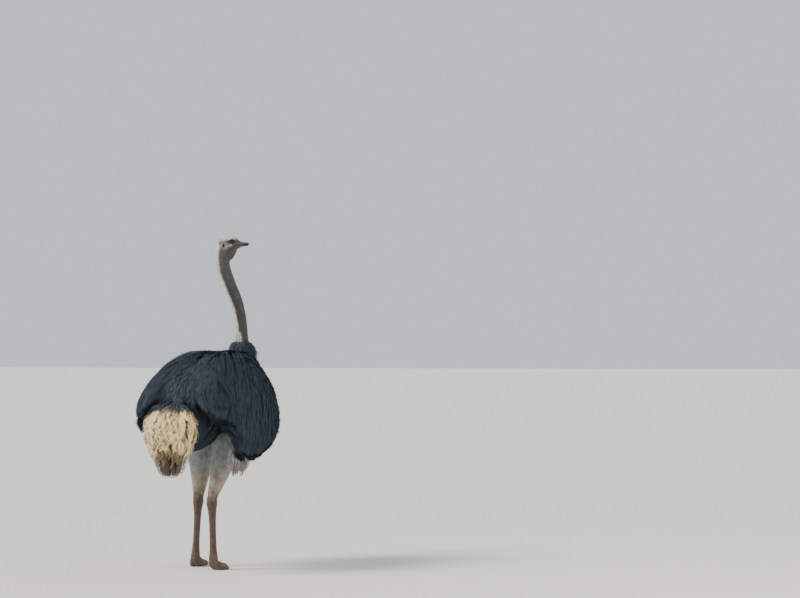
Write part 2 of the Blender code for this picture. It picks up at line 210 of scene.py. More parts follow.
def driftVector(points, size, seed):
    return np.stack([drift(points, size, seed + i) for i in range(3)], 1)


def readPoints(obj):
    points = np.empty(len(obj.data.vertices) * 3, np.float32)
    obj.data.vertices.foreach_get("co", points)
    return points.reshape(-1, 3).astype(float)


def readNormals(obj):
    normals = np.empty(len(obj.data.vertices) * 3, np.float32)
    obj.data.vertices.foreach_get("normal", normals)
    return normals.reshape(-1, 3).astype(float)


def writePoints(obj, points):
    obj.data.vertices.foreach_set("co", points.astype(np.float32).ravel())
    obj.data.update()


def linked(name, mesh):
    obj = bpy.data.objects.new(name, mesh)
    bpy.context.scene.collection.objects.link(obj)
    return obj


# a mesh from rows of points and faces that all have as many corners
def meshFrom(name, points, faces):
    corners = faces.shape[1]
    mesh = bpy.data.meshes.new(name)
    mesh.vertices.add(len(points))
    mesh.vertices.foreach_set("co", points.astype(np.float32).ravel())
    mesh.loops.add(faces.size)
    mesh.loops.foreach_set("vertex_index", faces.astype(np.int32).ravel())
    mesh.polygons.add(len(faces))
    mesh.polygons.foreach_set("loop_start", np.arange(0, faces.size, corners, dtype=np.int32))
    mesh.update(calc_edges=True)
    mesh.shade_smooth()
    return linked(name, mesh)


def addAttribute(obj, name, values):
    kind = "FLOAT" if values.ndim == 1 else "FLOAT_COLOR"
    layer = obj.data.attributes.new(name, kind, "POINT")
    if values.ndim > 1:
        values = np.concatenate([values, np.ones((len(values), 1))], 1)
    layer.data.foreach_set("value" if values.ndim == 1 else "color", values.astype(np.float32).ravel())


def faceOutward(obj):
    selectOnly(obj)
    bpy.ops.object.mode_set(mode="EDIT")
    bpy.ops.mesh.select_all(action="SELECT")
    bpy.ops.mesh.normals_make_consistent(inside=False)
    bpy.ops.object.mode_set(mode="OBJECT")


# quads between neighbouring rings of points, which are numbered ring after ring
def ringFaces(count, around, closed=False):
    k, j = np.meshgrid(np.arange(count if closed else count - 1), np.arange(around), indexing="ij")
    m, n = (k + 1) % count, (j + 1) % around
    return np.stack([k * around + j, k * around + n, m * around + n, m * around + j], -1).reshape(-1, 4)


# a closed mesh over a row of rings
def loft(name, rings):
    rings = np.array(rings)
    obj = meshFrom(name, rings.reshape(-1, 3), ringFaces(*rings.shape[:2]))
    selectOnly(obj)
    bpy.ops.object.mode_set(mode="EDIT")
    bpy.ops.mesh.select_all(action="DESELECT")
    bpy.ops.mesh.select_non_manifold()
    bpy.ops.mesh.edge_face_add()
    bpy.ops.object.mode_set(mode="OBJECT")
    faceOutward(obj)
    return obj


# the table's values at a place, on a smooth curve through its rows
def station(rows, place):
    rows = np.array(rows)
    last = len(rows) - 1
    i = int(np.clip(np.searchsorted(rows[:, 0], place, side="right") - 1, 0, last - 1))
    width = rows[i + 1, 0] - rows[i, 0]
    s = (place - rows[i, 0]) / width

    def slope(k):
        before, after = rows[max(k - 1, 0)], rows[min(k + 1, last)]
        return (after[1:] - before[1:]) / (after[0] - before[0])

    return (
        (2 * s**3 - 3 * s**2 + 1) * rows[i, 1:]
        + (s**3 - 2 * s**2 + s) * width * slope(i)
        + (3 * s**2 - 2 * s**3) * rows[i + 1, 1:]
        + (s**3 - s**2) * width * slope(i + 1)
    )


def dome(distance, length):
    return math.sqrt(max(0.0, 1 - (1 - min(distance / length, 1.0)) ** 2))


# one ring of a body's form, a little squarer than an ellipse
def ring(middle, sideAxis, upAxis, halfSide, halfUp, around, boxiness=2.2):
    angle = np.linspace(0, 2 * math.pi, around, endpoint=False)
    c, s = np.cos(angle), np.sin(angle)
    reach = (abs(c) ** boxiness + abs(s) ** boxiness) ** (-1 / boxiness)
    return (
        np.array(middle)
        + np.outer(halfSide * reach * c, np.array(sideAxis))
        + np.outer(halfUp * reach * s, np.array(upAxis))
    )


# a copy of a CAD node's mesh, its loose triangles merged
def copyOfNode(node, name):
    obj = linked(name, nodes[node].data.copy())
    obj.data.materials.clear()
    selectOnly(obj)
    bpy.ops.object.mode_set(mode="EDIT")
    bpy.ops.mesh.select_all(action="SELECT")
    bpy.ops.mesh.remove_doubles(threshold=0.00002)
    bpy.ops.object.mode_set(mode="OBJECT")
    return obj


def joinAll(objects, name):
    bpy.ops.object.select_all(action="DESELECT")
    for obj in objects:
        obj.select_set(True)
    bpy.context.view_layer.objects.active = objects[0]
    if len(objects) > 1:
        bpy.ops.object.join()
    objects[0].name = name
    return objects[0]


# what is needed to find the nearest place on a mesh
def surfaceOf(obj):
    obj.data.update()
    points, normals = readPoints(obj), readNormals(obj)
    faces = [tuple(p.vertices) for p in obj.data.polygons]
    tree = BVHTree.FromPolygons(points.tolist(), faces)
    return {"points": points, "normals": normals, "faces": faces, "tree": tree}


def nearest(surface, points):
    hits = np.empty_like(points)
    faces = np.empty(len(points), int)
    find = surface["tree"].find_nearest
    for i, point in enumerate(points.tolist()):
        hit, _, face, _ = find(point)
        hits[i] = hit
        faces[i] = face
    corners = np.array([surface["faces"][f][:3] for f in faces])
    return hits, unit(surface["normals"][corners].sum(1)), faces


# ---- camera, floor and lights ----
outlook = {"turn": 210, "distance": 14.0, "height": 1.47, "lens": 88.0, "aimRight": 1.346, "aimUp": 1.908}
studio = {
    "sky": "#e6ebf2", "skyPower": 0.92, "sun": 4.2, "sunSpread": math.radians(22), "fill": 195,
    "fillSize": 4.0, "floor": "#d6d3cd",
    # each lamp's place: back towards the camera, to the picture's right, and up
    "sunPlace": (0.9, -5.4, 6.0), "fillPlace": (5.0, 4.5, 2.6), "litHeight": 1.2,
}


def makeStudio():
    turn = math.radians(outlook["turn"])
    back = Vector((math.sin(turn), -math.cos(turn), 0))
    right = Vector((math.cos(turn), math.sin(turn), 0))
    base = at(0, 0, 0)
    place = base + back * outlook["distance"] + Vector((0, 0, outlook["height"]))
    aim = base + right * outlook["aimRight"] + Vector((0, 0, outlook["aimUp"]))
    bpy.ops.object.camera_add(location=place, rotation=(aim - place).to_track_quat("-Z", "Y").to_euler())
    camera = bpy.context.object
    camera.data.lens = outlook["lens"]
    bpy.context.scene.camera = camera

    bpy.ops.mesh.primitive_plane_add(size=600, location=(0, 0, 0))
    floor = bpy.context.object
    floor.name = "floor"
    # painted studio floor: matt, even
    material, tree, shader = newMaterial("floorPaint")
    setNode(tree, shader, {"Base Color": studio["floor"], "Roughness": 0.9})
    floor.data.materials.append(material)

    world = bpy.data.worlds.new("studioAir")
    world.use_nodes = True
    air = world.node_tree.nodes["Background"]
    setNode(world.node_tree, air, {"Color": studio["sky"], "Strength": studio["skyPower"]})
    bpy.context.scene.world = world
    # a soft key light high on the camera's left, a weak fill on its right
    key = bpy.data.lights.new("key", "SUN")
    key.energy = studio["sun"]
    key.angle = studio["sunSpread"]
    fill = bpy.data.lights.new("fill", "AREA")
    fill.energy = studio["fill"]
    fill.size = studio["fillSize"]
    lit = base + Vector((0, 0, studio["litHeight"]))
    for light, place in ((key, studio["sunPlace"]), (fill, studio["fillPlace"])):
        spot = base + back * place[0] + right * place[1] + Vector((0, 0, place[2]))
        lamp = linked(light.name, light)
        lamp.location = spot
        lamp.rotation_euler = (lit - spot).to_track_quat("-Z", "Y").to_euler()


makeStudio()
print("camera, floor and lights made")

# ---- the outer surface of the black plumage ----
envelopeForm = {
    "breast": ((0.385, 0, 1.15), (0.19, 0.125, 0.13)), "voxel": 0.012, "smoothing": 8, "filled": 0.034,
    "underTips": 0.014, "backRise": 0.018, "coatDepth": 0.062, "thinShare": 0.38, "openAt": 0.5,
}
drawnIn = (  # forward, left, up, width of the place, and the move forward, left and up
    (0.43, -0.20, 1.44, 0.12, (-0.010, 0.040, 0)),
    (0.43, 0.20, 1.44, 0.12, (-0.010, -0.040, 0)),
    (-0.42, 0.36, 1.00, 0.09, (0.014, -0.028, 0)),
    (-0.41, -0.35, 0.91, 0.09, (0.040, -0.018, 0)),
)


# a ball, drawn out to half sizes across, along and up
def makeBall(middle, halfSizes):
    bpy.ops.mesh.primitive_uv_sphere_add(segments=32, ring_count=16, radius=1, location=at(*middle))
    ball = bpy.context.object
    ball.scale = halfSizes
    bpy.ops.object.transform_apply(location=True, rotation=True, scale=True)
    return ball


def makeEnvelope():
    parts = [copyOfNode(n, "plumage_" + n) for n in ("trunk", "neck_root", "wing_left", "wing_right")]
    # the breast's plumage bridges the fold under the neck's root
    parts.append(makeBall(*envelopeForm["breast"]))
    envelope = joinAll(parts, "envelope")
    applyModifier(envelope, "REMESH", mode="VOXEL", voxel_size=envelopeForm["voxel"])
    # swollen, then shrunk again, so that the creases between the wings and the trunk close
    for strength in (envelopeForm["filled"], -envelopeForm["filled"] - envelopeForm["underTips"]):
        applyModifier(envelope, "SMOOTH", factor=0.5, iterations=2)
        applyModifier(envelope, "DISPLACE", strength=strength, mid_level=0.0)
        applyModifier(envelope, "REMESH", mode="VOXEL", voxel_size=envelopeForm["voxel"])
    applyModifier(envelope, "SMOOTH", factor=0.5, iterations=envelopeForm["smoothing"])
    # the back loses most height to the smoothing and gets it back
    points, normals = readPoints(envelope), readNormals(envelope)
    points += normals * (envelopeForm["backRise"] * ease(normals[:, 2], 0.2, 0.8))[:, None]
    # the plumage is drawn in at the foot of the ruff and at the wings' rear ends
    for forward, left, up, across, move in drawnIn:
        near = np.exp(-(((points - np.array(at(forward, left, up))) / across) ** 2).sum(1))
        points += near[:, None] * np.array([move[1], -move[0], move[2]])
    writePoints(envelope, points)
    return envelope


def neighbourMean(edges, values):
    ends = np.concatenate([edges[:, 0], edges[:, 1]])
    others = np.concatenate([edges[:, 1], edges[:, 0]])
    share = np.maximum(np.bincount(ends, minlength=len(values)), 1)
    columns = values.reshape(len(values), -1).T
    total = [np.bincount(ends, column[others], len(values)) / share for column in columns]
    return np.stack(total, 1).reshape(values.shape)


def readEdges(obj):
    edges = np.empty(len(obj.data.edges) * 2, np.int32)
    obj.data.edges.foreach_get("vertices", edges)
    return edges.reshape(-1, 2)


# how far the skin lies under each place of the plumage's surface, and how open that place is
def measureCoat(envelope, surface):
    points, normals = surface["points"], surface["normals"]
    cast = surface["tree"].ray_cast
    depth = np.empty(len(points))
    opening = np.ones(len(points))
    for i, (p, n) in enumerate(zip(points, normals)):
        place, out = Vector(p), Vector(n)
        inner = cast(place - out * 0.002, -out, 1.0)[3] or 1.0
        depth[i] = min(envelopeForm["coatDepth"], envelopeForm["thinShare"] * inner)
        outer = cast(place + out * 0.004, out, envelopeForm["openAt"])[3]
        opening[i] = 1.0 if outer is None else min(1.0, outer / envelopeForm["openAt"])
    edges = readEdges(envelope)
    inward = -normals * depth[:, None]
    for _ in range(14):
        depth = np.minimum(depth * 1.02, 0.5 * depth + 0.5 * neighbourMean(edges, depth))
        inward = 0.4 * inward + 0.6 * neighbourMean(edges, inward)
    return depth, inward, opening


envelope = makeEnvelope()
plumageSurface = surfaceOf(envelope)
coatDepth, inwardMove, openness = measureCoat(envelope, plumageSurface)
print("plumage surface:", len(plumageSurface["points"]), "points")

# ---- the skin ----
neckForm = (
    # height, forward, left, half width, half depth
    (1.30, 0.400, 0.000, 0.078, 0.085),
    (1.42, 0.435, 0.000, 0.062, 0.068),
    (1.52, 0.455, 0.003, 0.047, 0.052),
    (1.64, 0.458, 0.009, 0.041, 0.045),
    (1.76, 0.455, 0.018, 0.040, 0.044),
    (1.89, 0.424, 0.035, 0.043, 0.0465),
    (2.03, 0.361, 0.063, 0.043, 0.0480),
    (2.15, 0.317, 0.087, 0.0465, 0.052),
    (2.25, 0.309, 0.090, 0.049, 0.055),
    (2.36, 0.315, 0.088, 0.042, 0.047),
)
headForm = {
    "length": 0.232,
    "skull": (
        # share of the length, up, half width, half height
        (-0.07, -0.012, 0.031, 0.037),
        (0.02, -0.0035, 0.038, 0.0465),
        (0.14, 0.0005, 0.0430, 0.0515),
        (0.30, 0.001, 0.0475, 0.0515),
        (0.44, 0.000, 0.0475, 0.0500),
        (0.56, -0.0035, 0.0405, 0.0460),
        (0.66, -0.0105, 0.0325, 0.0300),
        (0.73, -0.0135, 0.0285, 0.0200),
        (0.78, -0.0145, 0.0245, 0.0150),
        (0.82, -0.0150, 0.0190, 0.0115),
    ),
    "throat": (
        # share of the way down, along the head, up, half width, half depth
        (0.00, 0.126, -0.018, 0.026, 0.024),
        (0.30, 0.102, -0.047, 0.032, 0.036),
        (0.65, 0.076, -0.083, 0.038, 0.038),
        (1.00, 0.050, -0.118, 0.040, 0.037),
    ),
    "lidWide": math.radians(41), "lidUp": math.radians(29), "lidDown": math.radians(26), "lidPower": 1.75,
    "ear": (0.034, -0.016),  # along the head, up
}
# how much finer the skin's mesh is at each height; the head is finest, the hidden body coarsest
fineness = (
    (-0.1, 2.2), (0.50, 2.2), (0.74, 0.65), (1.46, 0.65), (1.62, 1.9), (2.12, 2.0), (2.24, 5.9), (2.60, 5.9),
)
skinForm = {
    "voxel": 0.0098, "smoothing": 3, "bodyVoxel": 0.014, "bodySmoothing": 12,
    # the short stump that carries the tail's plumes: forward, left, up, and half sizes
    "stump": ((-0.45, 0, 1.10), (0.070, 0.11, 0.065)),
    "hipMove": (0, -0.03, 0.12), "foldGap": 0.021, "foldDepth": 0.0011,
}


def headToWorld(points):
    return points @ headTurn.T + headBase


def worldToHead(points):
    return (points - headBase) @ headTurn


# how far points in the head's frame are along the head, to a side and up
def headPlaces(local):
    return -local[:, 1], abs(local[:, 0]), local[:, 2]


# 1 at a place on the head's side, less the further from it
def bell(along, up, middle, wide, tall, power=2):
    return np.exp(-(((along - middle[0]) / wide) ** power) - (((up - middle[1]) / tall) ** power))


# the height of the mouth's line, which runs back under the eye
def mouthLine(along):
    return -0.0195 - 0.375 * (0.19 - along) ** 2


# the opening between the lids, as an angle from the eye's axis, for each direction round it
def lidEdge(round_):
    high = np.where(np.sin(round_) > 0, headForm["lidUp"], headForm["lidDown"])
    power = headForm["lidPower"]
    across, upward = abs(np.cos(round_)) / headForm["lidWide"], abs(np.sin(round_)) / high
    return (across**power + upward**power) ** (-1 / power)


def eyeCentre(sign):
    return np.array([sign * eyeForm["side"], -eyeForm["along"], eyeForm["up"]])


# each point's distance from an eye's centre, angle from its axis and direction round it
def eyePolar(local, sign):
    away = local - eyeCentre(sign)
    distance = np.linalg.norm(away, axis=1)
    angle = np.arccos(np.clip(sign * away[:, 0] / np.maximum(distance, 1e-9), -1, 1))
    return away, distance, angle, np.arctan2(away[:, 2], -away[:, 1])


# unit directions from an eye's centre, at an angle from its axis and a turn round it
def eyeRays(angle, round_, sign):
    ahead, upward = np.sin(angle) * np.cos(round_), np.sin(angle) * np.sin(round_)
    return np.stack([sign * np.cos(angle), -ahead, upward], 1)


# a ring across the head, at a share of its length
def headRing(rows, share, swell, around):
    up, halfWidth, halfHeight = station(rows, share)
    middle = (0, -share * headForm["length"], up)
    return ring(middle, (1, 0, 0), (0, 0, 1), halfWidth * swell, halfHeight * swell, around)


def makeSkull():
    rows, length = headForm["skull"], headForm["length"]
    rings = []
    for share in np.linspace(rows[0][0], rows[-1][0], 130):
        fromNape, toBill = (share - rows[0][0]) * length, (rows[-1][0] - share) * length
        swell = min(dome(fromNape + 0.0006, 0.026), dome(toBill + 0.0006, 0.006))
        rings.append(headRing(rows, share, swell, 112))
    skull = loft("skull", rings)
    points = readPoints(skull)
    for sign in (1, -1):
        away, distance, angle, round_ = eyePolar(points, sign)
        edge = lidEdge(round_)
        # the socket sinks to just under the eyeball, then rises to the side of the head
        socket = eyeForm["radius"] - 0.0010 + 0.0055 * ease(angle, edge + 0.14, edge + 0.55)
        socket += 1.0 * ease(angle, edge + 0.40, edge + 1.4)
        lowered = np.minimum(distance, socket)
        points += (lowered / np.maximum(distance, 1e-9) - 1)[:, None] * away
    writePoints(skull, headToWorld(points))
    return skull


# a soft ring of skin round the opening of the lids
def makeLids(sign):
    round_ = np.linspace(0, 2 * math.pi, 96, endpoint=False)
    # outward along the top of the lid, then back underneath it: angle from its edge, height over the eyeball
    profile = (
        (0.000, 0.0002), (0.000, 0.0012), (0.030, 0.0021), (0.085, 0.0026), (0.160, 0.0027), (0.260, 0.0024),
        (0.380, 0.0012), (0.480, -0.0010), (0.300, -0.0020), (0.120, -0.0020), (0.030, -0.0010),
    )
    rings = []
    for out, lift in profile:
        # the upper lid is the thicker
        reach = eyeForm["radius"] + lift + 0.0007 * (out > 0.02) * np.clip(np.sin(round_), 0, 1)
        rings.append(eyeCentre(sign) + reach[:, None] * eyeRays(lidEdge(round_) + out, round_, sign))
    rings = np.array(rings)
    faces = ringFaces(*rings.shape[:2], closed=True)
    lids = meshFrom("lids", headToWorld(rings.reshape(-1, 3)), faces)
    faceOutward(lids)
    return lids


# the slack skin from chin to neck
def makeThroat():
    rows = headForm["throat"]
    chin, base = Vector((0, -rows[0][1], rows[0][2])), Vector((0, -rows[-1][1], rows[-1][2]))
    line, length = (base - chin).normalized(), (base - chin).length
    deep = line.cross(Vector((1, 0, 0)))
    rings = []
    for share in np.linspace(0, 1, 50):
        along, up, halfWidth, halfDepth = station(rows, share)
        swell = min(dome(share * length + 0.001, 0.030), dome((1 - share) * length + 0.001, 0.040))
        rings.append(ring((0, -along, up), (1, 0, 0), deep, halfWidth * swell, halfDepth * swell, 56, 2.0))
    throat = loft("throat", rings)
    writePoints(throat, headToWorld(readPoints(throat)))
    return throat


def makeNeck():
    rings = []
    bottom, top = neckForm[0][0], neckForm[-1][0]
    heights = np.linspace(bottom, top - 0.01, 110)
    for height in heights:
        forward, left, halfWidth, halfDepth = station(neckForm, height)
        above = station(neckForm, min(height + 0.01, top))
        below = station(neckForm, max(height - 0.01, bottom))
        line = (at(*above[:2], height + 0.01) - at(*below[:2], height - 0.01)).normalized()
        depthAxis = line.cross(Vector((1, 0, 0))).normalized()
        swell = dome(heights[-1] - height + 0.001, 0.055)
        size = halfWidth * swell, halfDepth * swell
        rings.append(ring(at(forward, left, height), depthAxis.cross(line), depthAxis, *size, 64, 2.0))
    return loft("neck", rings)


def makeSkinBody():
    body = linked("skinBody", envelope.data.copy())
    writePoints(body, plumageSurface["points"] + inwardMove)
    applyModifier(body, "REMESH", mode="VOXEL", voxel_size=skinForm["bodyVoxel"])
    applyModifier(body, "SMOOTH", factor=0.5, iterations=skinForm["bodySmoothing"])
    parts = [body, makeNeck(), makeThroat(), makeSkull(), makeLids(1), makeLids(-1)]
    for side in ("left", "right"):
        for kind in ("thigh", "tarsus", "toe_main", "toe_outer"):
            part = copyOfNode(f"{kind}_{side}", "skin_" + kind)
            applyModifier(part, "SUBSURF", levels=2, render_levels=2)
            parts.append(part)
            if kind == "thigh":  # another, moved up inside the trunk, so that the leg reaches the body
                low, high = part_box("thigh_" + side)
                raised = linked("skin_hip", part.data.copy())
                spots = readPoints(raised)
                lift = ease(spots[:, 2], low.z + 0.15, high.z)
                writePoints(raised, spots + np.outer(lift, skinForm["hipMove"]))
                parts.append(raised)
    parts.append(makeBall(*skinForm["stump"]))
    return joinAll(parts, "skin")


# the fineness at close steps of height, made smooth over 240 of them, and its sum from below
heightRow = np.linspace(-0.1, 2.6, 5400)
window = np.hanning(241) / np.hanning(241).sum()
finenessRow = np.pad(np.interp(heightRow, *zip(*fineness)), 120, mode="edge")
finenessRow = np.convolve(finenessRow, window, mode="valid")
stretchedRow = np.cumsum((finenessRow[1:] + finenessRow[:-1]) / 2 * np.diff(heightRow))
stretchedRow = np.concatenate([[0], stretchedRow])
axisRows = [(0.0, at(0, 0, 0)), (1.0, at(0, 0, 0)), (1.45, at(0.44, 0, 0))]
axisRows += [(row[0], at(row[1], row[2], 0)) for row in neckForm[2:]] + [(2.60, at(0.32, 0.08, 0))]


# stretches the skin so that one even remesh gives it a finer mesh at the head and the feet
def stretch(points, back=False):
    height = np.interp(points[:, 2], stretchedRow, heightRow) if back else points[:, 2]
    fine = np.interp(height, heightRow, finenessRow)
    levels = [row[0] for row in axisRows]
    middle = np.stack([np.interp(height, levels, [row[1][i] for row in axisRows]) for i in (0, 1)], 1)
    if back:
        return np.concatenate([points[:, :2] / fine[:, None] + middle, height[:, None]], 1)
    stretched = np.interp(height, heightRow, stretchedRow)
    return np.concatenate([(points[:, :2] - middle) * fine[:, None], stretched[:, None]], 1)


def makeSkin():
    skin = makeSkinBody()
    writePoints(skin, stretch(readPoints(skin)))
    applyModifier(skin, "REMESH", mode="VOXEL", voxel_size=skinForm["voxel"])
    applyModifier(skin, "SMOOTH", factor=0.5, iterations=skinForm["smoothing"])
    points = stretch(readPoints(skin), back=True)
    points[:, 2] = np.where(points[:, 2] < 0.0025, 0, points[:, 2])
    writePoints(skin, points)
    return skin


# folds, hollows and openings, as moves of the skin's points along their normals
def sculptSkin(skin):
    points, normals = readPoints(skin), readNormals(skin)
    local = worldToHead(points)
    inHead = (points[:, 2] > 2.2) & (local[:, 1] < 0.02)
    along, side, up = headPlaces(local)

    def spot(middle, wide, tall):
        return bell(along, up, middle, wide, tall) * inHead * ease(side, 0.008, 0.024)

    rim = spot(headForm["ear"], 0.0125, 0.0180)
    move = 0.0030 * (rim - 1.35 * rim**2.2)
    for middle, wide, tall, height in (
        (headForm["ear"], 0.0072, 0.0122, -0.0100),  # the ear opening
        ((0.074, -0.026), 0.020, 0.012, 0.0022),  # the jaw's muscle
        ((0.132, 0.006), 0.014, 0.010, -0.0024),  # the hollow ahead of the eye
        ((0.102, 0.0350), 0.022, 0.0050, 0.0020),  # the brow
    ):
        move += height * spot(middle, wide, tall)
    # the mouth's slit, and the lips that swell over and under it
    reach = ease(along, 0.112, 0.128) * (along < 0.20) * inHead * (side > 0.010)
    for above, thick, height in ((0, 0.0014, -0.0022), (0.0040, 0.0022, 0.0009), (-0.0040, 0.0022, 0.0009)):
        move += height * np.exp(-(((up - mouthLine(along) - above) / thick) ** 2)) * reach
    # loose folds across the throat and round the neck
    onNeck = ease(points[:, 2], 1.55, 1.66) * (1 - ease(points[:, 2], 2.24, 2.30))
    forwardness = 0.5 - 0.5 * normals[:, 1]
    phase = points[:, 2] * 2 * math.pi / skinForm["foldGap"] + 2.2 * drift(points, 0.10, 31)
    phase += 2 * normals[:, 0]
    fold = skinForm["foldDepth"] * np.sin(phase)
    move += onNeck * fold * (0.45 + 0.55 * forwardness) * (0.6 + 0.4 * drift(points, 0.07, 32))
    points += normals * move[:, None]
    radius = eyeForm["radius"]
    for sign in (1, -1):
        away, distance, angle, round_ = eyePolar(worldToHead(points), sign)
        edge = lidEdge(round_)
        # creases that follow the lids
        crease = 0.00030 * np.sin((angle - edge) / 0.19 * 2 * math.pi) * ease(angle - edge, 0.07, 0.16)
        crease *= (1 - ease(angle - edge, 0.45, 0.75)) * (distance < radius + 0.012)
        wanted = distance + crease
        # the skin stays off the eyeball outside the lids, and behind it within them
        near = distance < radius + 0.006
        wanted = np.where(near & (angle > edge - 0.015), np.maximum(wanted, radius + 0.0004), wanted)
        wanted = np.where(near & (angle < edge - 0.06), np.minimum(wanted, radius - 0.0007), wanted)
        points += ((wanted / np.maximum(distance, 1e-9) - 1)[:, None] * away) @ headTurn.T
    points[:, 2] = np.maximum(points[:, 2], 0)
    writePoints(skin, points)


# evens out the joins of head, jaw and neck, and of the legs with the body
def easeJoins(skin):
    points = readPoints(skin)
    local = worldToHead(points)
    along, _, up = headPlaces(local)
    ahead = ease(along, 0.082, 0.105) * ease(up, -0.058, -0.040)
    join = ease(up, -0.20, -0.15) * (1 - ahead) * (points[:, 2] > 2.0)
    join *= 1 - 0.85 * ease(up, 0.012, 0.030)  # the crown keeps its form
    join = np.maximum(join, 1 - ease(abs(points[:, 2] - 0.505), 0.020, 0.045))  # the hocks
    for sign in (1, -1):
        join *= ease(eyePolar(local, sign)[1], 0.030, 0.042)
    edges = readEdges(skin)
    kept = np.flatnonzero(join > 0.01)
    number = np.full(len(points), -1)
    near = (join[edges] > 0.01).any(1)
    ends = np.unique(edges[near])
    number[ends] = np.arange(len(ends))
    links = number[edges[near]]
    part, share = points[ends], join[ends][:, None]
    for _ in range(70):
        part = part + share * 0.6 * (neighbourMean(links, part) - part)
    points[kept] = part[number[kept]]
    writePoints(skin, points)


skin = makeSkin()
easeJoins(skin)
sculptSkin(skin)
print("skin:", len(skin.data.polygons), "faces")

# ---- colour of the skin, worked out from places on the bird ----
skinTone = {
    "crown": "#ebe6e2", "face": "#544b48", "cheek": "#c2b5ae", "throat": "#454042", "ear": "#120e0d",
    "lid": "#2a2423", "neck": "#62605e", "neckLow": "#4b4946", "hindNeck": "#e4e2d3", "thigh": "#a3abad",
    "thighLow": "#a89c87", "tarsus": "#674e3c", "toe": "#705b4a", "hidden": "#12161a",
}


def toneOf(name):
    return np.array(srgb(skinTone[name])[:3])


def paintSkin(skin):
    points, normals = readPoints(skin), readNormals(skin)
    local = worldToHead(points)
    along, _, up = headPlaces(local)
    height = points[:, 2] + 0.02 * drift(points, 0.05, 41)
    # the pale stripe down the hind neck turns with the head; it is set on the side towards the key light and
    # is partly a painted highlight there
    twist = math.radians(34) + math.radians(28) * ease(height, 1.58, 1.76)
    behind = normals[:, 0] * np.sin(twist) + normals[:, 1] * np.cos(twist)
    stripe = 0.96 * ease(behind, 0.44 - 0.04 * (1 - ease(height, 1.60, 1.68)), 0.70)
    head = (points[:, 2] > 2.15) * ease(up, -0.085, -0.030)
    throat = head * ease(along, 0.02, 0.07) * (1 - ease(up, -0.040, -0.022))
    crown = head * ease(up + 0.10 * (0.10 - along) * (along < 0.10), 0.016, 0.036)
    crown *= 1 - ease(along, 0.135, 0.165)
    rear = (normals @ headTurn)[:, 1]
    crown = np.maximum(crown, head * ease(rear, 0.35, 0.80) * (1 - ease(along, 0.03, 0.06)))
    earAlong, earUp = headForm["ear"]
    slit = np.exp(-(((up - mouthLine(along)) / 0.0026) ** 2)) * ease(along, 0.090, 0.105)
    ear = bell(along, up, headForm["ear"], 0.0102, 0.0162, 4)
    layers = [
        ("neckLow", 1 - ease(height, 1.98, 2.15)),
        # painted shade: the neck's front, on the side away from the key light, is darkened
        ("neckLow", 0.75 * ease(-behind, -0.1, 0.7)),
        ("hindNeck", stripe),
        ("face", head * (1 - stripe)),
        ("throat", 0.8 * throat),
        ("crown", crown),
        ("cheek", 0.90 * bell(along, up, (earAlong + 0.006, earUp), 0.030, 0.028) * head),
        # painted highlight: a pale spot on the cheek under the eye, in the crown's tone
        ("crown", 0.65 * bell(along, up, (0.083, -0.018), 0.014, 0.006) * head),  # pale under the eye
        # painted shade: the mouth's slit and the ear opening are painted near black
        ("ear", 0.75 * slit * head),
        ("ear", 0.96 * ear * (points[:, 2] > 2.2)),
    ]
    for sign in (1, -1):
        _, distance, angle, round_ = eyePolar(local, sign)
        # the lid's dark tone spread wider round each eye: dark skin there, and a painted shade under the
        # brow
        gap = np.hypot((along - eyeForm["along"]) / 0.030, (up - eyeForm["up"] + 0.001) / 0.017)
        shadowed = (1 - ease(gap, 0.70, 1.10)) * (local[:, 0] * sign > 0.012)
        near = (distance < eyeForm["radius"] + 0.008) * (points[:, 2] > 2.2)
        layers.append(("lid", 0.80 * shadowed * head))
        layers.append(("lid", 0.92 * near * (1 - ease(angle - lidEdge(round_), 0.10, 0.34))))
    bare = 1 - ease(height, 0.47, 0.60)
    body = ease(height, 0.44, 0.46) * (1 - ease(height, 1.50, 1.60))
    # painted shade: the skin under the plumage and inside the wings is painted near black, so the gaps
    # between plumes read dark
    covered = ease(points[:, 2], 0.98, 1.06) * (1 - ease(points[:, 2], 1.56, 1.62))
    covered = np.maximum(covered, ease(abs(points[:, 0] - birdX), 0.25, 0.27))  # inside the wings
    layers += [
        ("thigh", body),
        ("thighLow", body * (1 - ease(height, 0.58, 0.80))),
        ("tarsus", bare),
        ("toe", 1 - ease(height, 0.06, 0.11)),
        ("hidden", covered),
    ]
    colours = np.tile(toneOf("neck"), (len(points), 1))
    for name, share in layers:
        colours += (toneOf(name) - colours) * np.clip(share, 0, 1)[:, None]
    addAttribute(skin, "tone", colours)
    addAttribute(skin, "scaly", np.clip(bare, 0, 1))
    addAttribute(skin, "pimpled", body * (1 - covered))


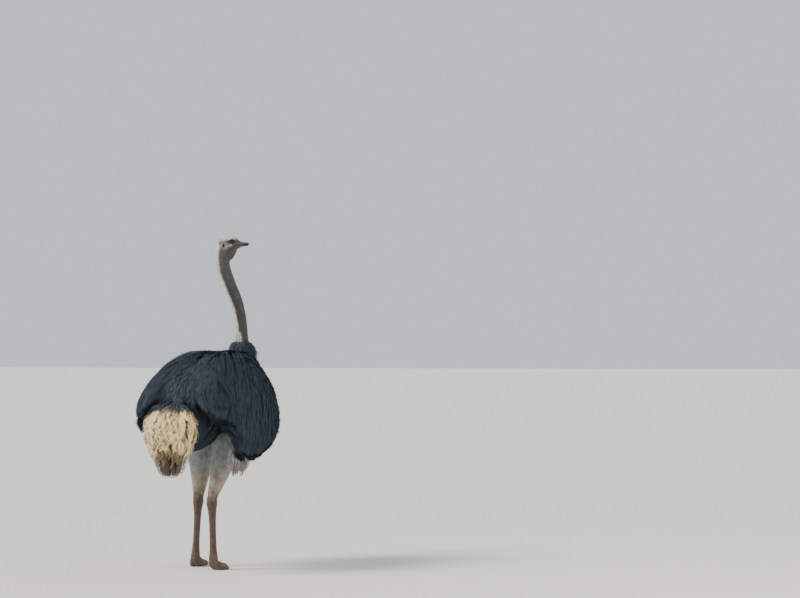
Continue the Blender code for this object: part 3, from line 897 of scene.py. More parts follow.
# bare bird skin: matt, faintly translucent, creased on the neck, pimpled on the thigh, scaled on the leg
def makeBareSkin():
    material, tree, shader = newMaterial("bareBirdSkin")
    scaly, pimpled, place = readAttribute(tree, "scaly"), readAttribute(tree, "pimpled"), placeOn(tree)
    # blotches 35 mm across and specks 4 mm across
    blotch = addRamp(tree, addNoise(tree, place, 0.035, 3.0), (0.30, "#b4a9a2"), (0.70, "#ffffff"))
    speck = addRamp(tree, addNoise(tree, place, 0.004, 2.0), (0.35, "#c2bbb6"), (0.62, "#ffffff"))
    tone = darken(tree, 0.8, readAttribute(tree, "tone", "Color"), blotch)
    tone = darken(tree, 0.7, tone, speck)
    # scales 6 mm across on the legs, their edges darker
    values = {"feature": "DISTANCE_TO_EDGE", "Scale": 1 / 0.0060, "Vector": place}
    fromEdge = addNode(tree, "TexVoronoi", values).outputs["Distance"]
    tone = darken(tree, scaly, tone, addRamp(tree, fromEdge, (0.0, "#94857c"), (0.12, "#ffffff")))
    # pimples where feathers would stand, 13 mm apart
    pimple = addNode(tree, "TexVoronoi", {"Scale": 1 / 0.013, "Randomness": 0.75, "Vector": place})
    wart = mapRange(tree, pimple.outputs["Distance"], 0.0, 0.35, 1.0, 0.0)
    plate = mapRange(tree, fromEdge, 0.0, 0.20, 0.0, 1.0)
    relief = addBump(tree, addNoise(tree, place, 0.0028, 4.0, Roughness=0.6), 0.35, 0.0010)
    relief = addBump(tree, calculate(tree, "MULTIPLY", wart, pimpled), 0.75, 0.0016, Normal=relief)
    relief = addBump(tree, calculate(tree, "MULTIPLY", plate, scaly), 0.8, 0.0009, Normal=relief)
    setNode(tree, shader, {
        "Base Color": tone, "Normal": relief, "Roughness": 0.62, "Subsurface Weight": 0.08,
        "Subsurface Radius": (0.006, 0.003, 0.002), "Subsurface Scale": 1.0,
    })
    return material


def finishPiece(obj, material, slotName, *replaced):
    obj.data.materials.clear()
    obj.data.materials.append(material)
    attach(obj, "root")
    if replaced:
        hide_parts(*replaced)


# the unwrap that carries the colours of skin and coat
def unwrapSkin(skin):
    selectOnly(skin)
    skin.data.uv_layers.new(name="OFBake")
    bpy.ops.object.mode_set(mode="EDIT")
    bpy.ops.mesh.select_all(action="SELECT")
    bpy.ops.uv.smart_project(angle_limit=math.radians(72), island_margin=0.001)
    bpy.ops.object.mode_set(mode="OBJECT")


paintSkin(skin)
unwrapSkin(skin)
skin.name = "bare_skin"
fleshNodes = ["head", "throat", "neck_upper", "neck_lower", "neck_root", "trunk"]
for kind in ("wing", "thigh", "tarsus", "toe_main", "toe_outer"):
    fleshNodes += [kind + "_left", kind + "_right"]
finishPiece(skin, makeBareSkin(), "bare_skin", *fleshNodes)
skinSurface = surfaceOf(skin)
print("skin painted and unwrapped")


# the place on the skin's unwrap that lies under each point
def unwrapPlaces(points):
    hits, _, faces = nearest(skinSurface, points)
    layer = skin.data.uv_layers["OFBake"]
    flat = np.empty(len(layer.uv) * 2, np.float32)
    layer.uv.foreach_get("vector", flat)
    flat = flat.reshape(-1, 2)
    starts = np.empty(len(skin.data.polygons), np.int32)
    skin.data.polygons.foreach_get("loop_start", starts)
    corners = np.array([skinSurface["faces"][f][:4] for f in faces])
    gap = np.linalg.norm(skinSurface["points"][corners] - hits[:, None], axis=2)
    weight = 1 / (gap + 1e-5)
    weight /= weight.sum(1, keepdims=True)
    spots = flat[starts[faces][:, None] + np.arange(4)]
    return (spots * weight[:, :, None]).sum(1)


# ---- the bill ----
billForm = {
    "upper": (
        # share of the head's length, up, half width, half height
        (0.56, -0.0090, 0.0225, 0.0100),
        (0.70, -0.0080, 0.0278, 0.0115),
        (0.82, -0.0100, 0.0255, 0.0096),
        (0.92, -0.0118, 0.0205, 0.0078),
        (1.00, -0.0140, 0.0150, 0.0058),
    ),
    "lower": (
        (0.56, -0.0250, 0.0255, 0.0060),
        (0.70, -0.0258, 0.0268, 0.0064),
        (0.82, -0.0250, 0.0232, 0.0058),
        (0.92, -0.0242, 0.0186, 0.0050),
        (0.985, -0.0238, 0.0132, 0.0042),
    ),
    "nostril": (0.838, 0.0115),  # share of the head's length, to the side
}


def makeBill(half, node):
    rows, length = billForm[half], headForm["length"]
    rings = []
    for share in np.linspace(rows[0][0], rows[-1][0], 120):
        rings.append(headRing(rows, share, dome((rows[-1][0] - share) * length + 0.0004, 0.015), 80))
    bill = loft("bill_horn_" + half, rings)
    points, normals = readPoints(bill), readNormals(bill)
    share, side = -points[:, 1] / length, abs(points[:, 0])
    hole = np.zeros(len(points))
    if half == "upper":
        top = ease(normals[:, 2], 0.1, 0.7)
        rear = top * (1 - ease(share, 0.90, 0.95))
        move = 0.0016 * np.exp(-((side / 0.0062) ** 2)) * rear  # the ridge
        move -= 0.0010 * np.exp(-(((side - 0.0125) / 0.0030) ** 2)) * rear  # the groove beside it
        nail = ease(share, 0.905, 0.925) * (1 - ease(side, 0.009, 0.014))
        move += 0.0011 * nail * top
        move -= 0.0007 * np.exp(-(((share - 0.908) / 0.006) ** 2)) * top
        nostrilAlong, nostrilSide = billForm["nostril"]
        hole = ((share - nostrilAlong) * length / 0.0065) ** 4 + ((side - nostrilSide) / 0.0020) ** 4
        hole = np.exp(-hole) * top
        move -= 0.0038 * hole
    else:
        move = 0.0007 * np.exp(-((side / 0.005) ** 2)) * ease(-normals[:, 2], 0.1, 0.7)
    addAttribute(bill, "opening", hole)
    points += normals * move[:, None]
    addAttribute(bill, "reach", share)
    writePoints(bill, headToWorld(points))
    finishPiece(bill, billHorn, "bill_horn", node)


# bill keratin: dark grey-brown, darker at the tip, satin, with growth lines 1.5 mm apart; the nostrils hold
# a painted shade
def makeBillHorn():
    material, tree, shader = newMaterial("billKeratin")
    place = placeOn(tree)
    tone = addRamp(tree, addNoise(tree, place, 0.012, 4.0), (0.30, "#3b3736"), (0.72, "#575050"))
    tip = mapRange(tree, readAttribute(tree, "reach"), 0.84, 1.0, 0.0, 0.75)
    tone = mixColours(tree, tip, tone, "#3c3634")
    # painted shade in the nostril holes
    tone = mixColours(tree, readAttribute(tree, "opening"), tone, "#171110")
    relief = addBump(tree, addNoise(tree, place, 0.0015, 3.0), 0.25, 0.0005)
    values = {"Base Color": tone, "Normal": relief, "Roughness": 0.55, "Specular IOR Level": 0.35}
    setNode(tree, shader, values)
    return material


billHorn = makeBillHorn()
makeBill("upper", "bill_upper")
makeBill("lower", "bill_lower")

# ---- the eyes ----
eyeLook = {
    "cornea": math.radians(31), "corneaRise": 0.0012, "ahead": 0.13,
    "lashes": 30, "lashLength": 0.0105, "lashWidth": 0.00035,
}


# the wet eyeball: a wide black pupil, a brown iris with fine rays, a dark rim
def makeEyeMaterial():
    material, tree, shader = newMaterial("wetEyeball")
    ray = addNoise(tree, placeOn(tree), 0.0012, 3.0)
    shifted = calculate(tree, "MULTIPLY_ADD", ray, 0.05, readAttribute(tree, "fromPupil"))
    tone = addRamp(
        tree, shifted, (0.00, "#050404"), (0.375, "#060505"), (0.400, "#21150d"), (0.52, "#332115"),
        (0.630, "#1c120b"), (0.68, "#0b0807"), (0.74, "#1d1815"),
    )
    setNode(tree, shader, {"Base Color": tone, "Roughness": 0.04, "IOR": 1.38})
    return material


eyeMaterial = makeEyeMaterial()
for side, sign in (("left", 1), ("right", -1)):
    bpy.ops.object.select_all(action="DESELECT")
    middle = boxMiddle("eye_" + side)
    radius = eyeForm["radius"] - 0.0001
    bpy.ops.mesh.primitive_uv_sphere_add(segments=64, ring_count=40, radius=radius, location=middle)
    eye = bpy.context.object
    bpy.ops.object.transform_apply(location=True, rotation=True, scale=True)
    gaze = (headSide * sign + headAhead * eyeLook["ahead"]).normalized()
    away = readPoints(eye) - np.array(middle)
    angle = np.arccos(np.clip(unit(away) @ np.array(gaze), -1, 1))
    domed = np.clip(1 - (angle / eyeLook["cornea"]) ** 2, 0, 1)
    rise = 1 + eyeLook["corneaRise"] / eyeForm["radius"] * domed
    writePoints(eye, np.array(middle) + away * rise[:, None])
    eye.data.shade_smooth()
    eye.name = "eyeball_" + side
    addAttribute(eye, "fromPupil", angle)
    finishPiece(eye, eyeMaterial, "eye", "eye_" + side)
print("bill and eyes made")

# ---- claws ----
# claw keratin: dark, with a dull polish and streaks along it
def makeClawHorn():
    material, tree, shader = newMaterial("clawKeratin")
    # streaks 2 mm apart that run along the toe
    stretched = addNode(tree, "Mapping", {"Scale": (1.0, 0.15, 1.0), "Vector": placeOn(tree)}).outputs[0]
    streak = addNoise(tree, stretched, 0.002, 3.0)
    tone = addRamp(tree, streak, (0.30, "#2b2623"), (0.75, "#5b4f47"))
    relief = addBump(tree, streak, 0.4, 0.0006)
    setNode(tree, shader, {"Base Color": tone, "Normal": relief, "Roughness": 0.45, "IOR": 1.54})
    return material


clawHorn = makeClawHorn()
for side in ("left", "right"):
    claw = copyOfNode("claw_" + side, "claw_horn_" + side)
    applyModifier(claw, "SUBSURF", levels=2, render_levels=2)
    claw.data.shade_smooth()
    finishPiece(claw, clawHorn, "claw_horn", "claw_" + side)

# ---- horny plates down the front of the legs and over the toes ----
legForm = {
    "hockForward": {"left": -0.012, "right": -0.170},
    "footForward": {"left": -0.032, "right": -0.164},
    "hockSide": 0.100, "footSide": 0.112, "hockUp": 0.495, "footUp": 0.066,
    # each toe's splay, length, start to the side and height
    "toe_main": (math.radians(4), 0.172, -0.006, 0.016),
    "toe_outer": (math.radians(32), 0.115, 0.018, 0.012),
}
plateForm = {
    "thick": 0.0016, "lap": 1.22, "tilt": 0.0015, "columns": 7, "rows": 5,
    "legReach": 0.060, "toeReach": 0.036,
}
plateRows = (
    # name, start share and end share along the limb, plates, arc in degrees
    ("tarsus", 0.10, 0.97, 24, 118),
    ("toe_main", 0.33, 0.88, 9, 124),
    ("toe_outer", 0.34, 0.90, 6, 118),
)


def limbLine(kind, side):
    sign = 1 if side == "left" else -1
    foot = at(legForm["footForward"][side], sign * legForm["footSide"], legForm["footUp"])
    if kind == "tarsus":
        hock = at(legForm["hockForward"][side], sign * legForm["hockSide"], legForm["hockUp"])
        return foot, hock, Vector((0, -1, 0))
    splay, length, offset, lift = legForm[kind]
    ahead = Vector((sign * math.sin(splay), -math.cos(splay), 0))
    across = Vector((sign * math.cos(splay), math.sin(splay), 0))
    start = Vector((foot.x, foot.y, lift)) + across * offset
    return start, start + ahead * length, Vector((0, 0, 1))


# one plate is a small grid, laid on the skin by casting rays at it from round the limb
def makePlates():
    bpy.ops.object.select_all(action="DESELECT")
    columns, rows = plateForm["columns"], plateForm["rows"]
    bpy.ops.mesh.primitive_grid_add(x_subdivisions=columns, y_subdivisions=rows, size=2)
    pattern = bpy.context.object
    u, v = readPoints(pattern)[:, :2].T
    u, v = u * (1 - 0.16 * v**4), v * (1 - 0.22 * u**4)  # rounded corners
    patternFaces = np.array([tuple(p.vertices) for p in pattern.data.polygons])
    bpy.data.objects.remove(pattern)
    points, faces = [], []
    for side in ("left", "right"):
        for kind, first, last, count, arc in plateRows:
            start, end, out = limbLine(kind, side)
            line = (end - start).normalized()
            across = line.cross(out).normalized()
            out = across.cross(line).normalized()
            pitch = (last - first) * (end - start).length / count
            for k in range(count):
                faces.append(patternFaces + len(points) * len(u))
                place = start + (end - start) * first + line * pitch * (k + 0.5)
                spots = []
                far, lower = (plateForm["legReach"], -1) if kind == "tarsus" else (plateForm["toeReach"], 1)
                for a, b in zip(u, v):
                    turn = a * math.radians(arc) / 2
                    ray = out * math.cos(turn) + across * math.sin(turn)
                    middle = place + line * (b * pitch * plateForm["lap"] / 2)
                    hit = skinSurface["tree"].ray_cast(middle + ray * far, -ray, far)[0]
                    hit = hit or middle + ray * 0.012
                    tilt = plateForm["tilt"] * (1 + lower * b) / 2  # the end nearer the claw stands off
                    crown = (1 - a**6) * (1 - 0.6 * b**4)
                    spots.append(hit + ray * (0.0003 + (tilt + plateForm["thick"] * 0.7) * crown))
                points.append(spots)
    plates = meshFrom("leg_plates", np.array(points).reshape(-1, 3), np.concatenate(faces))
    applyModifier(plates, "SOLIDIFY", thickness=plateForm["thick"], offset=-1.0)
    return plates


# leg plates: hard keratin, brown, faintly mottled, satin
def makePlateHorn():
    material, tree, shader = newMaterial("legPlateKeratin")
    place = placeOn(tree)
    tone = addRamp(tree, addNoise(tree, place, 0.018, 4.0), (0.30, "#564233"), (0.70, "#775e4a"))
    relief = addBump(tree, addNoise(tree, place, 0.002, 3.0), 0.35, 0.0006)
    setNode(tree, shader, {"Base Color": tone, "Normal": relief, "Roughness": 0.5})
    return material


legPlates = makePlates()
finishPiece(legPlates, makePlateHorn(), "leg_scales")
print("claws and leg plates made")

# ---- plumes ----
bladeFaces = ((0, 1, 3), (0, 3, 2), (2, 3, 4))  # of a pointed blade's five points
# a soft plume is a shaft with loose, pointed barbs on both sides, all thin ribbons
blackPlume = {
    "barbs": 15, "bare": 0.05, "angle": 0.40, "shaft": 0.0009, "barb": 0.0038, "droop": 0.16, "sway": 0.07,
}
bodyPlumage = {
    "count": 12200, "points": 7, "steps": 15, "topLayer": 0.020, "curl": (0.001, 0.010),
    "beyondHem": (-0.034, -0.006), "shortest": 0.40, "perPiece": 1900,
}


def alongRows(rows, place):
    last = rows.shape[1] - 1
    spot = np.clip(place, 0, 1) * last
    low = np.minimum(spot.astype(int), last - 1)
    part = (spot - low)[..., None]
    which = np.arange(len(rows))[:, None]
    return rows[which, low] * (1 - part) + rows[which, low + 1] * part


# shafts and facing: rows of points and of outward directions; reach: each plume's barb length
def makePlumes(name, shafts, facing, reach, look, tint, roots, rng):
    count, knots, _ = shafts.shape
    line = unit(np.gradient(shafts, axis=1))
    side = unit(np.cross(line, facing))
    facing = np.cross(side, line)
    along = np.linspace(0, 1, knots)
    half = (look["shaft"] * (1 - 0.85 * along))[None, :, None]
    shaftPoints = np.stack([shafts - side * half, shafts + side * half], 2).reshape(count, -1, 3)
    k = np.arange(knots - 1) * 2
    shaftFaces = np.concatenate([np.stack([k, k + 1, k + 3], 1), np.stack([k, k + 3, k + 2], 1)])
    points, faces, start = [shaftPoints], [shaftFaces], 2 * knots
    # where each point lies along its plume and across it, for its colour and its place on the map
    alongs, acrosses = [np.tile(np.repeat(along, 2), (count, 1))], [np.tile([-0.05, 0.05], (count, knots))]
    barbs = look["barbs"]
    pitch = (1 - look["bare"]) / barbs
    for sign in (1, -1):
        place = look["bare"] + pitch * (np.arange(barbs) + 0.5)
        place = place + rng.uniform(-0.5, 0.5, (count, barbs)) * pitch
        root, ahead = alongRows(shafts, place), unit(alongRows(line, place))
        beside, out = unit(alongRows(side, place)) * sign, unit(alongRows(facing, place))
        angle = look["angle"] * (1.12 - 0.62 * place) + rng.normal(0, 0.12, (count, barbs))
        toward = ahead * np.cos(angle)[..., None] + beside * np.sin(angle)[..., None]
        fullness = np.clip(np.sin(math.pi * np.clip(place * 0.80 + 0.12, 0, 1)), 0, 1) ** 0.6
        long_ = (reach[:, None] * fullness * rng.uniform(0.72, 1.15, (count, barbs)))[..., None]
        sway = rng.normal(0, 1, (count, barbs, 3)) * long_ * look["sway"]
        middle = root + toward * long_ * 0.5 - out * long_ * look["droop"] * 0.25 + sway * 0.4
        tip = root + toward * long_ * 0.84 + ahead * long_ * 0.22 - out * long_ * look["droop"] + sway
        width = unit(np.cross(toward, out)) * look["barb"] / 2
        blade = [root - width * 0.7, root + width * 0.7, middle - width, middle + width, tip]
        points.append(np.stack(blade, 2).reshape(count, -1, 3))
        corner = start + 5 * np.arange(barbs)[:, None]
        faces += [corner + np.array([triangle]) for triangle in bladeFaces]
        further = place[..., None] + np.array([0, 0, 0.06, 0.06, 0.12])
        alongs.append(np.clip(further, 0, 1).reshape(count, -1))
        acrosses.append(np.tile(sign * np.array([0.05, 0.05, 0.5, 0.5, 1.0]), (count, barbs)))
        start += 5 * barbs
    points = np.concatenate(points, 1)
    each = points.shape[1]
    faces = np.concatenate(faces)[None] + (np.arange(count) * each)[:, None, None]
    alongs, acrosses = np.concatenate(alongs, 1), np.concatenate(acrosses, 1)
    plumes = meshFrom(name, points.reshape(-1, 3), faces.reshape(-1, 3))
    addAttribute(plumes, "along", alongs.ravel())
    addAttribute(plumes, "tint", np.repeat(tint, each))
    addPatches(plumes, np.repeat(roots, each, 0), acrosses.ravel(), alongs.ravel(), faces.ravel())
    return plumes


# the coat's own map: each plume is a small patch of it, at its root's place on the skin's unwrap
patchHalf = 0.0015  # of the map's width


def addPatches(obj, roots, across, along, corners):
    spots = roots + patchHalf * np.stack([across, 2 * along - 1], 1)
    layer = obj.data.uv_layers.new(name="OFBake")
    layer.uv.foreach_set("vector", np.clip(spots, 0, 1)[corners].astype(np.float32).ravel())


# which way the feathers lie: back and down, a little outward, in loose locks
def lieOf(places, normals):
    ruff = ease(birdY - places[:, 1], 0.26, 0.40) * ease(places[:, 2], 1.28, 1.42)
    outward = np.tanh((places[:, 0] - birdX) / 0.05)
    pull = np.stack([0.25 * outward, 0.55 * (1 - 0.6 * ruff), -0.85 - 0.3 * ruff], 1)
    pull += 0.13 * driftVector(places, 0.20, 51) + 0.08 * driftVector(places, 0.06, 61)
    return unit(pull - normals * dot(pull, normals))


def layPlumes(roots, length, rng):
    form = bodyPlumage
    count, steps = len(roots), form["steps"]
    stride = (length / steps)[:, None]
    place, normal, _ = nearest(plumageSurface, roots)
    under = normal[:, 2] < -0.35
    breast = (birdY - place[:, 1] > 0.30) & (place[:, 2] > 1.04) & (abs(place[:, 0] - birdX) < 0.28)
    heading = lieOf(place, normal)
    track, outs = [place], [normal]
    freeFrom = np.full(count, steps)
    for k in range(steps):
        free = freeFrom < steps
        wanted = np.where(free[:, None], heading - [0, 0, 0.5], lieOf(place, normal))  # once free, it falls
        heading = unit(heading * 0.45 + wanted * 0.55)
        step = place + heading * stride
        hit, hitNormal, _ = nearest(plumageSurface, step)
        gap = np.linalg.norm(hit - step, axis=1)
        leaves = (hitNormal[:, 2] < -0.30) & (heading[:, 2] < -0.25) & ~under | (gap > 0.030)
        leaves |= (hitNormal * normal).sum(1) < -0.2
        leaves &= ~breast
        freeFrom = np.where(leaves & ~free, k, freeFrom)
        free = freeFrom < steps
        place = np.where(free[:, None], step, hit)
        normal = np.where(free[:, None], normal, hitNormal)
        track.append(place)
        outs.append(normal)
    slack = rng.uniform(*form["beyondHem"], count) / stride[:, 0]
    share = np.minimum(1.0, (freeFrom + slack) / steps)
    spots = share[:, None] * np.linspace(0, 1, form["points"])[None]
    return alongRows(np.stack(track, 1), spots), unit(alongRows(np.stack(outs, 1), spots)), share


# black plume: soft matt keratin with a faint blue sheen, greyer where it has worn at the tips
def makeBlackPlume():
    material, tree, shader = newMaterial("blackPlume")
    stops = (0.0, "#1f272d"), (0.5, "#29323a"), (0.85, "#313c45"), (1.0, "#373a3c")
    tone = addRamp(tree, readAttribute(tree, "tint"), *stops)
    worn = mapRange(tree, readAttribute(tree, "along"), 0.55, 1.0, 0.0, 0.45)
    setNode(tree, shader, {
        "Base Color": mixColours(tree, worn, tone, "#38424a"), "Roughness": 0.70, "Specular IOR Level": 0.22,
        "Sheen Weight": 0.08, "Sheen Roughness": 0.4, "Sheen Tint": "#8fabc2",
    })
    return material


def clothe():
    rng = np.random.default_rng(11)
    form = bodyPlumage
    surface = plumageSurface
    points, normals = surface["points"], surface["normals"]
    weight = 0.22 + 0.78 * ease(openness, 0.25, 0.8)
    forward = birdY - points[:, 1]
    weight *= 1 + 0.8 * ease(points[:, 2], 1.38, 1.50) * ease(forward, 0.28, 0.42)  # closer on the ruff
    weight *= 1 - 0.5 * ease(-normals[:, 2], 0.5, 0.9)
    chosen = rng.choice(len(points), form["count"], replace=False, p=weight / weight.sum())
    roots = points[chosen] + rng.normal(0, 0.004, (len(chosen), 3))
    forward = forward[chosen]
    names = ("trunk", "neck_root", "wing_left", "wing_right")
    gaps = []
    for name in names:
        mesh = nodes[name].data
        corners, faces = [tuple(v.co) for v in mesh.vertices], [tuple(p.vertices) for p in mesh.polygons]
        find = BVHTree.FromPolygons(corners, faces).find_nearest
        gaps.append([find(p)[3] for p in roots.tolist()])
    region = np.argmin(gaps, 0)
    onWing = region >= 2
    length = 0.125 + 0.075 * ease(-forward, -0.40, 0.30) + 0.055 * onWing * ease(-forward, -0.35, 0.20)
    length = np.where(region == 1, 0.085 + 0.045 * ease(1.58 - points[chosen, 2], 0.0, 0.25), length)
    length *= rng.uniform(0.78, 1.20, len(chosen))
    shafts, facing, share = layPlumes(roots, length, rng)
    # those rooted right at the hem would be mere stubs
    kept = share > form["shortest"]
    shafts, facing, length, region = shafts[kept], facing[kept], length[kept], region[kept]
    roots, chosen, forward = roots[kept], chosen[kept], forward[kept]
    t = np.linspace(0, 1, form["points"])[None, :]
    under = coatDepth[chosen][:, None] * 0.85
    layer = rng.uniform(0.002, form["topLayer"], len(chosen))[:, None]
    rise = ease(t, 0.0, 0.42)
    curl = rng.uniform(*form["curl"], len(chosen))[:, None]
    height = -under * (1 - rise) - layer * rise + (curl + layer * 0.4) * t**3
    shafts = shafts + facing * height[..., None]
    reach = (0.024 + 0.085 * length) * rng.uniform(0.8, 1.2, len(chosen))
    reach = np.where(region == 1, reach * 0.62, reach)
    tint = np.clip(rng.beta(2.0, 2.6, len(chosen)) + 0.12 * drift(points[chosen], 0.2, 71), 0, 1)
    spots = unwrapPlaces(roots)
    black = makeBlackPlume()
    for index, name in enumerate(names):
        here = np.flatnonzero(region == index)
        here = here[np.argsort(-forward[here])]
        # several pieces, so that each mesh stays light
        for part, some in enumerate(np.array_split(here, math.ceil(len(here) / form["perPiece"]))):
            rows = shafts[some], facing[some], reach[some], blackPlume, tint[some], spots[some]
            plumes = makePlumes(f"black_plumes_{name}_{part + 1}", *rows, rng)
            finishPiece(plumes, black, "black_plumage")
            print("plumes on", name, len(some), "faces", len(plumes.data.polygons))
    return black


blackMaterial = clothe()

# ---- plumes that fall from the foot of the neck over the top of the ruff ----
shawlForm = {
    "count": 330, "start": (0.0, 0.075), "length": (0.05, 0.14), "reach": (0.020, 0.028),
    # height, forward, left, half width, half depth of the ruff's outline
    "line": (
        (1.612, 0.452, 0.010, 0.046, 0.052),
        (1.600, 0.450, 0.010, 0.072, 0.082),
        (1.570, 0.448, 0.007, 0.092, 0.104),
        (1.530, 0.445, 0.004, 0.103, 0.118),
        (1.440, 0.435, 0.000, 0.130, 0.140),
    ),
}


def makeShawl():
    rng = np.random.default_rng(61)
    count = shawlForm["count"]
    line = np.array(shawlForm["line"])
    # the way along the outline is measured by its own length
    steps = np.concatenate([[0], np.cumsum(np.hypot(np.diff(line[:, 0]), np.diff(line[:, 4])))])
    start = rng.uniform(*shawlForm["start"], count)[:, None]
    length = rng.uniform(*shawlForm["length"], count)[:, None]
    t = np.linspace(0, 1, 8)[None]
    reach = start + np.minimum(length, steps[-1] - start) * t
    height, forward, left, wide, deep = (np.interp(reach, steps, line[:, i]) for i in range(5))
    turn = rng.uniform(0, 2 * math.pi, count)[:, None] + rng.normal(0, 0.22, (count, 1)) * t
    lift = 1 - rng.uniform(0.02, 0.16, (count, 1)) + rng.uniform(-0.04, 0.16, (count, 1)) * t**3
    shafts = np.stack([
        birdX + left + wide * np.cos(turn) * lift, birdY - forward + deep * np.sin(turn) * lift,
        height - 0.05 * (1 - lift),
    ], 2)
    facing = unit(np.stack([np.cos(turn), np.sin(turn), 0.5 + 0 * turn], 2))
    rows = shafts, facing, rng.uniform(*shawlForm["reach"], count), blackPlume, rng.beta(2.0, 2.6, count)
    shawl = makePlumes("black_plumes_ruff_top", *rows, unwrapPlaces(shafts[:, 0]), rng)
    finishPiece(shawl, blackMaterial, "black_plumage")


makeShawl()

# ---- hanging plumes of the tail and the wing tips ----
# the hanging form at each height, read from the node's own mesh: middle and half sizes
def hangingForm(node):
    form = copyOfNode(node, "form_" + node)
    applyModifier(form, "REMESH", mode="VOXEL", voxel_size=0.008)
    applyModifier(form, "SMOOTH", factor=0.5, iterations=4)
    points = readPoints(form)
    bpy.data.objects.remove(form)
    heights = np.linspace(points[:, 2].min() + 0.006, points[:, 2].max() - 0.006, 30)
    rows = []
    for height in heights:
        near = points[abs(points[:, 2] - height) < 0.012]
        low, high = near[:, :2].min(0), near[:, :2].max(0)
        rows.append([height, *(low + high) / 2, *(high - low) / 2])
    return np.array(rows)


creamPlume = {
    "barbs": 18, "bare": 0.06, "angle": 0.46, "shaft": 0.0011, "barb": 0.0032, "droop": 0.16, "sway": 0.14,
}
tailForm = {
    "tufts": 132, "each": 8, "inner": 260, "points": 10, "wave": 0.12, "curl": 0.018, "top": (1.158, 0.865),
    "length": (0.11, 0.20), "under": (0.80, 1.09), "low": 0.660, "apart": 0.050, "rise": 0.20,
    # the crest's tufts: which of them, the way they face and its spread, how far their roots are gathered
    # inward, and how far they lie ahead
    "crest": slice(0, 44, 2), "crestTurn": (1.85, 0.75), "gathered": 0.50, "rooted": 0.07,
    "reach": (0.009, 0.015), "innerReach": (0.016, 0.024),
    # darker towards the bottom, centred a little to the side away from the key light: soil, and painted
    # shade on that side
    "soil": (0.78, 0.88, birdX - 0.035, 0.115), "tones": ("#fce3a8", "#b09160", "#57442b"),
}
rumpForm = {
    "count": 110, "points": 7, "wave": 0.06, "curl": 0.003, "start": (1.175, 1.215), "end": (1.115, 1.150),
    "share": (0.94, 1.04), "rise": 0.45, "rooted": 0.04, "reach": (0.016, 0.024), "darkened": 0.4,
}
tipForm = {
    "count": 90, "points": 12, "wave": 0.10, "curl": 0.010, "share": (0.4, 1.12), "rise": 0.40,
    # the lower plumes are darker and browner: soil, and painted shade
    "reach": (0.020, 0.032), "soil": (0.16, 0.30), "tones": ("#dcd8cf", "#9a9183", "#6b6053"),
}


# plumes that hang round a form: angle round it, share of its half sizes, start and end heights, and how much
# of the share is gained on the way down; those of one lock sway together
def hangPlumes(rows, turn, share, startUp, endUp, rise, lock, form, rng):
    count, locks = len(turn), lock.max() + 1
    t = np.linspace(0, 1, form["points"])[None]
    height = startUp[:, None] + (endUp - startUp)[:, None] * t
    phase = rng.uniform(0, 2 * math.pi, (locks, 2, 1))[lock]
    pace = rng.uniform(0.9, 1.9, (locks, 2, 1))[lock]
    swing = turn[:, None] + form["wave"] * np.sin(2 * math.pi * t * pace[:, 0] + phase[:, 0]) * t
    column = [np.interp(height, rows[:, 0], rows[:, i]) for i in range(1, 5)]
    spread = share[:, None] * (1 - rise[:, None] * (1 - ease(t, 0.0, 0.35)))
    spread = spread * (1 + 0.035 * np.sin(2 * math.pi * t * pace[:, 1] + phase[:, 1]))
    x = column[0] + column[2] * np.cos(swing) * spread
    y = column[1] + column[3] * np.sin(swing) * spread
    shafts = np.stack([x, y, height], 2)
    out = np.cos(swing) / np.maximum(column[2], 0.01), np.sin(swing) / np.maximum(column[3], 0.01), 0 * swing
    out = unit(np.stack(out, 2))
    # the tips curl outward and up a little
    hook = ease(t, 0.70, 1.0)[..., None] * (form["curl"] * rng.uniform(0.1, 1.0, (count, 1)))[..., None]
    return shafts + out * hook + np.array([0, 0, 0.7]) * hook, out


# pale plume: fine, dry and fluffy, cream where it is clean, tawny to umber towards the bottom, where it
# drags and soils and, in part, where a painted shade lies
def makePalePlume(name, clean, soiledAndShaded, worn):
    material, tree, shader = newMaterial(name)
    mottle = addNoise(tree, placeOn(tree), 0.022, 3.0)
    share = calculate(tree, "MULTIPLY_ADD", mottle, 0.45, readAttribute(tree, "soil"), clamp=True)
    share = calculate(tree, "SUBTRACT", share, 0.22, clamp=True)
    tone = addRamp(tree, share, (0.0, clean), (0.35, soiledAndShaded), (1.0, worn))
    # painted shade: a low tint darkens the plume
    shade = addRamp(tree, readAttribute(tree, "tint"), (0.0, "#6c5c42"), (0.65, "#ffffff"))
    setNode(tree, shader, {
        "Base Color": darken(tree, 1.0, tone, shade), "Roughness": 0.85, "Sheen Weight": 0.3,
        "Sheen Roughness": 0.6, "Subsurface Weight": 0.12, "Subsurface Radius": (0.004, 0.003, 0.002),
        "Subsurface Scale": 1.0,
    })
    return material


# darker towards the bottom and towards a middle line: soil, and painted shade
def addSoilAndShade(obj, low, high, middleX, wide):
    points = readPoints(obj)
    middle = 1 - ease(abs(points[:, 0] - middleX), wide * 0.45, wide)
    addAttribute(obj, "soil", np.clip((1 - ease(points[:, 2], low, high)) * (0.15 + 0.85 * middle), 0, 1))


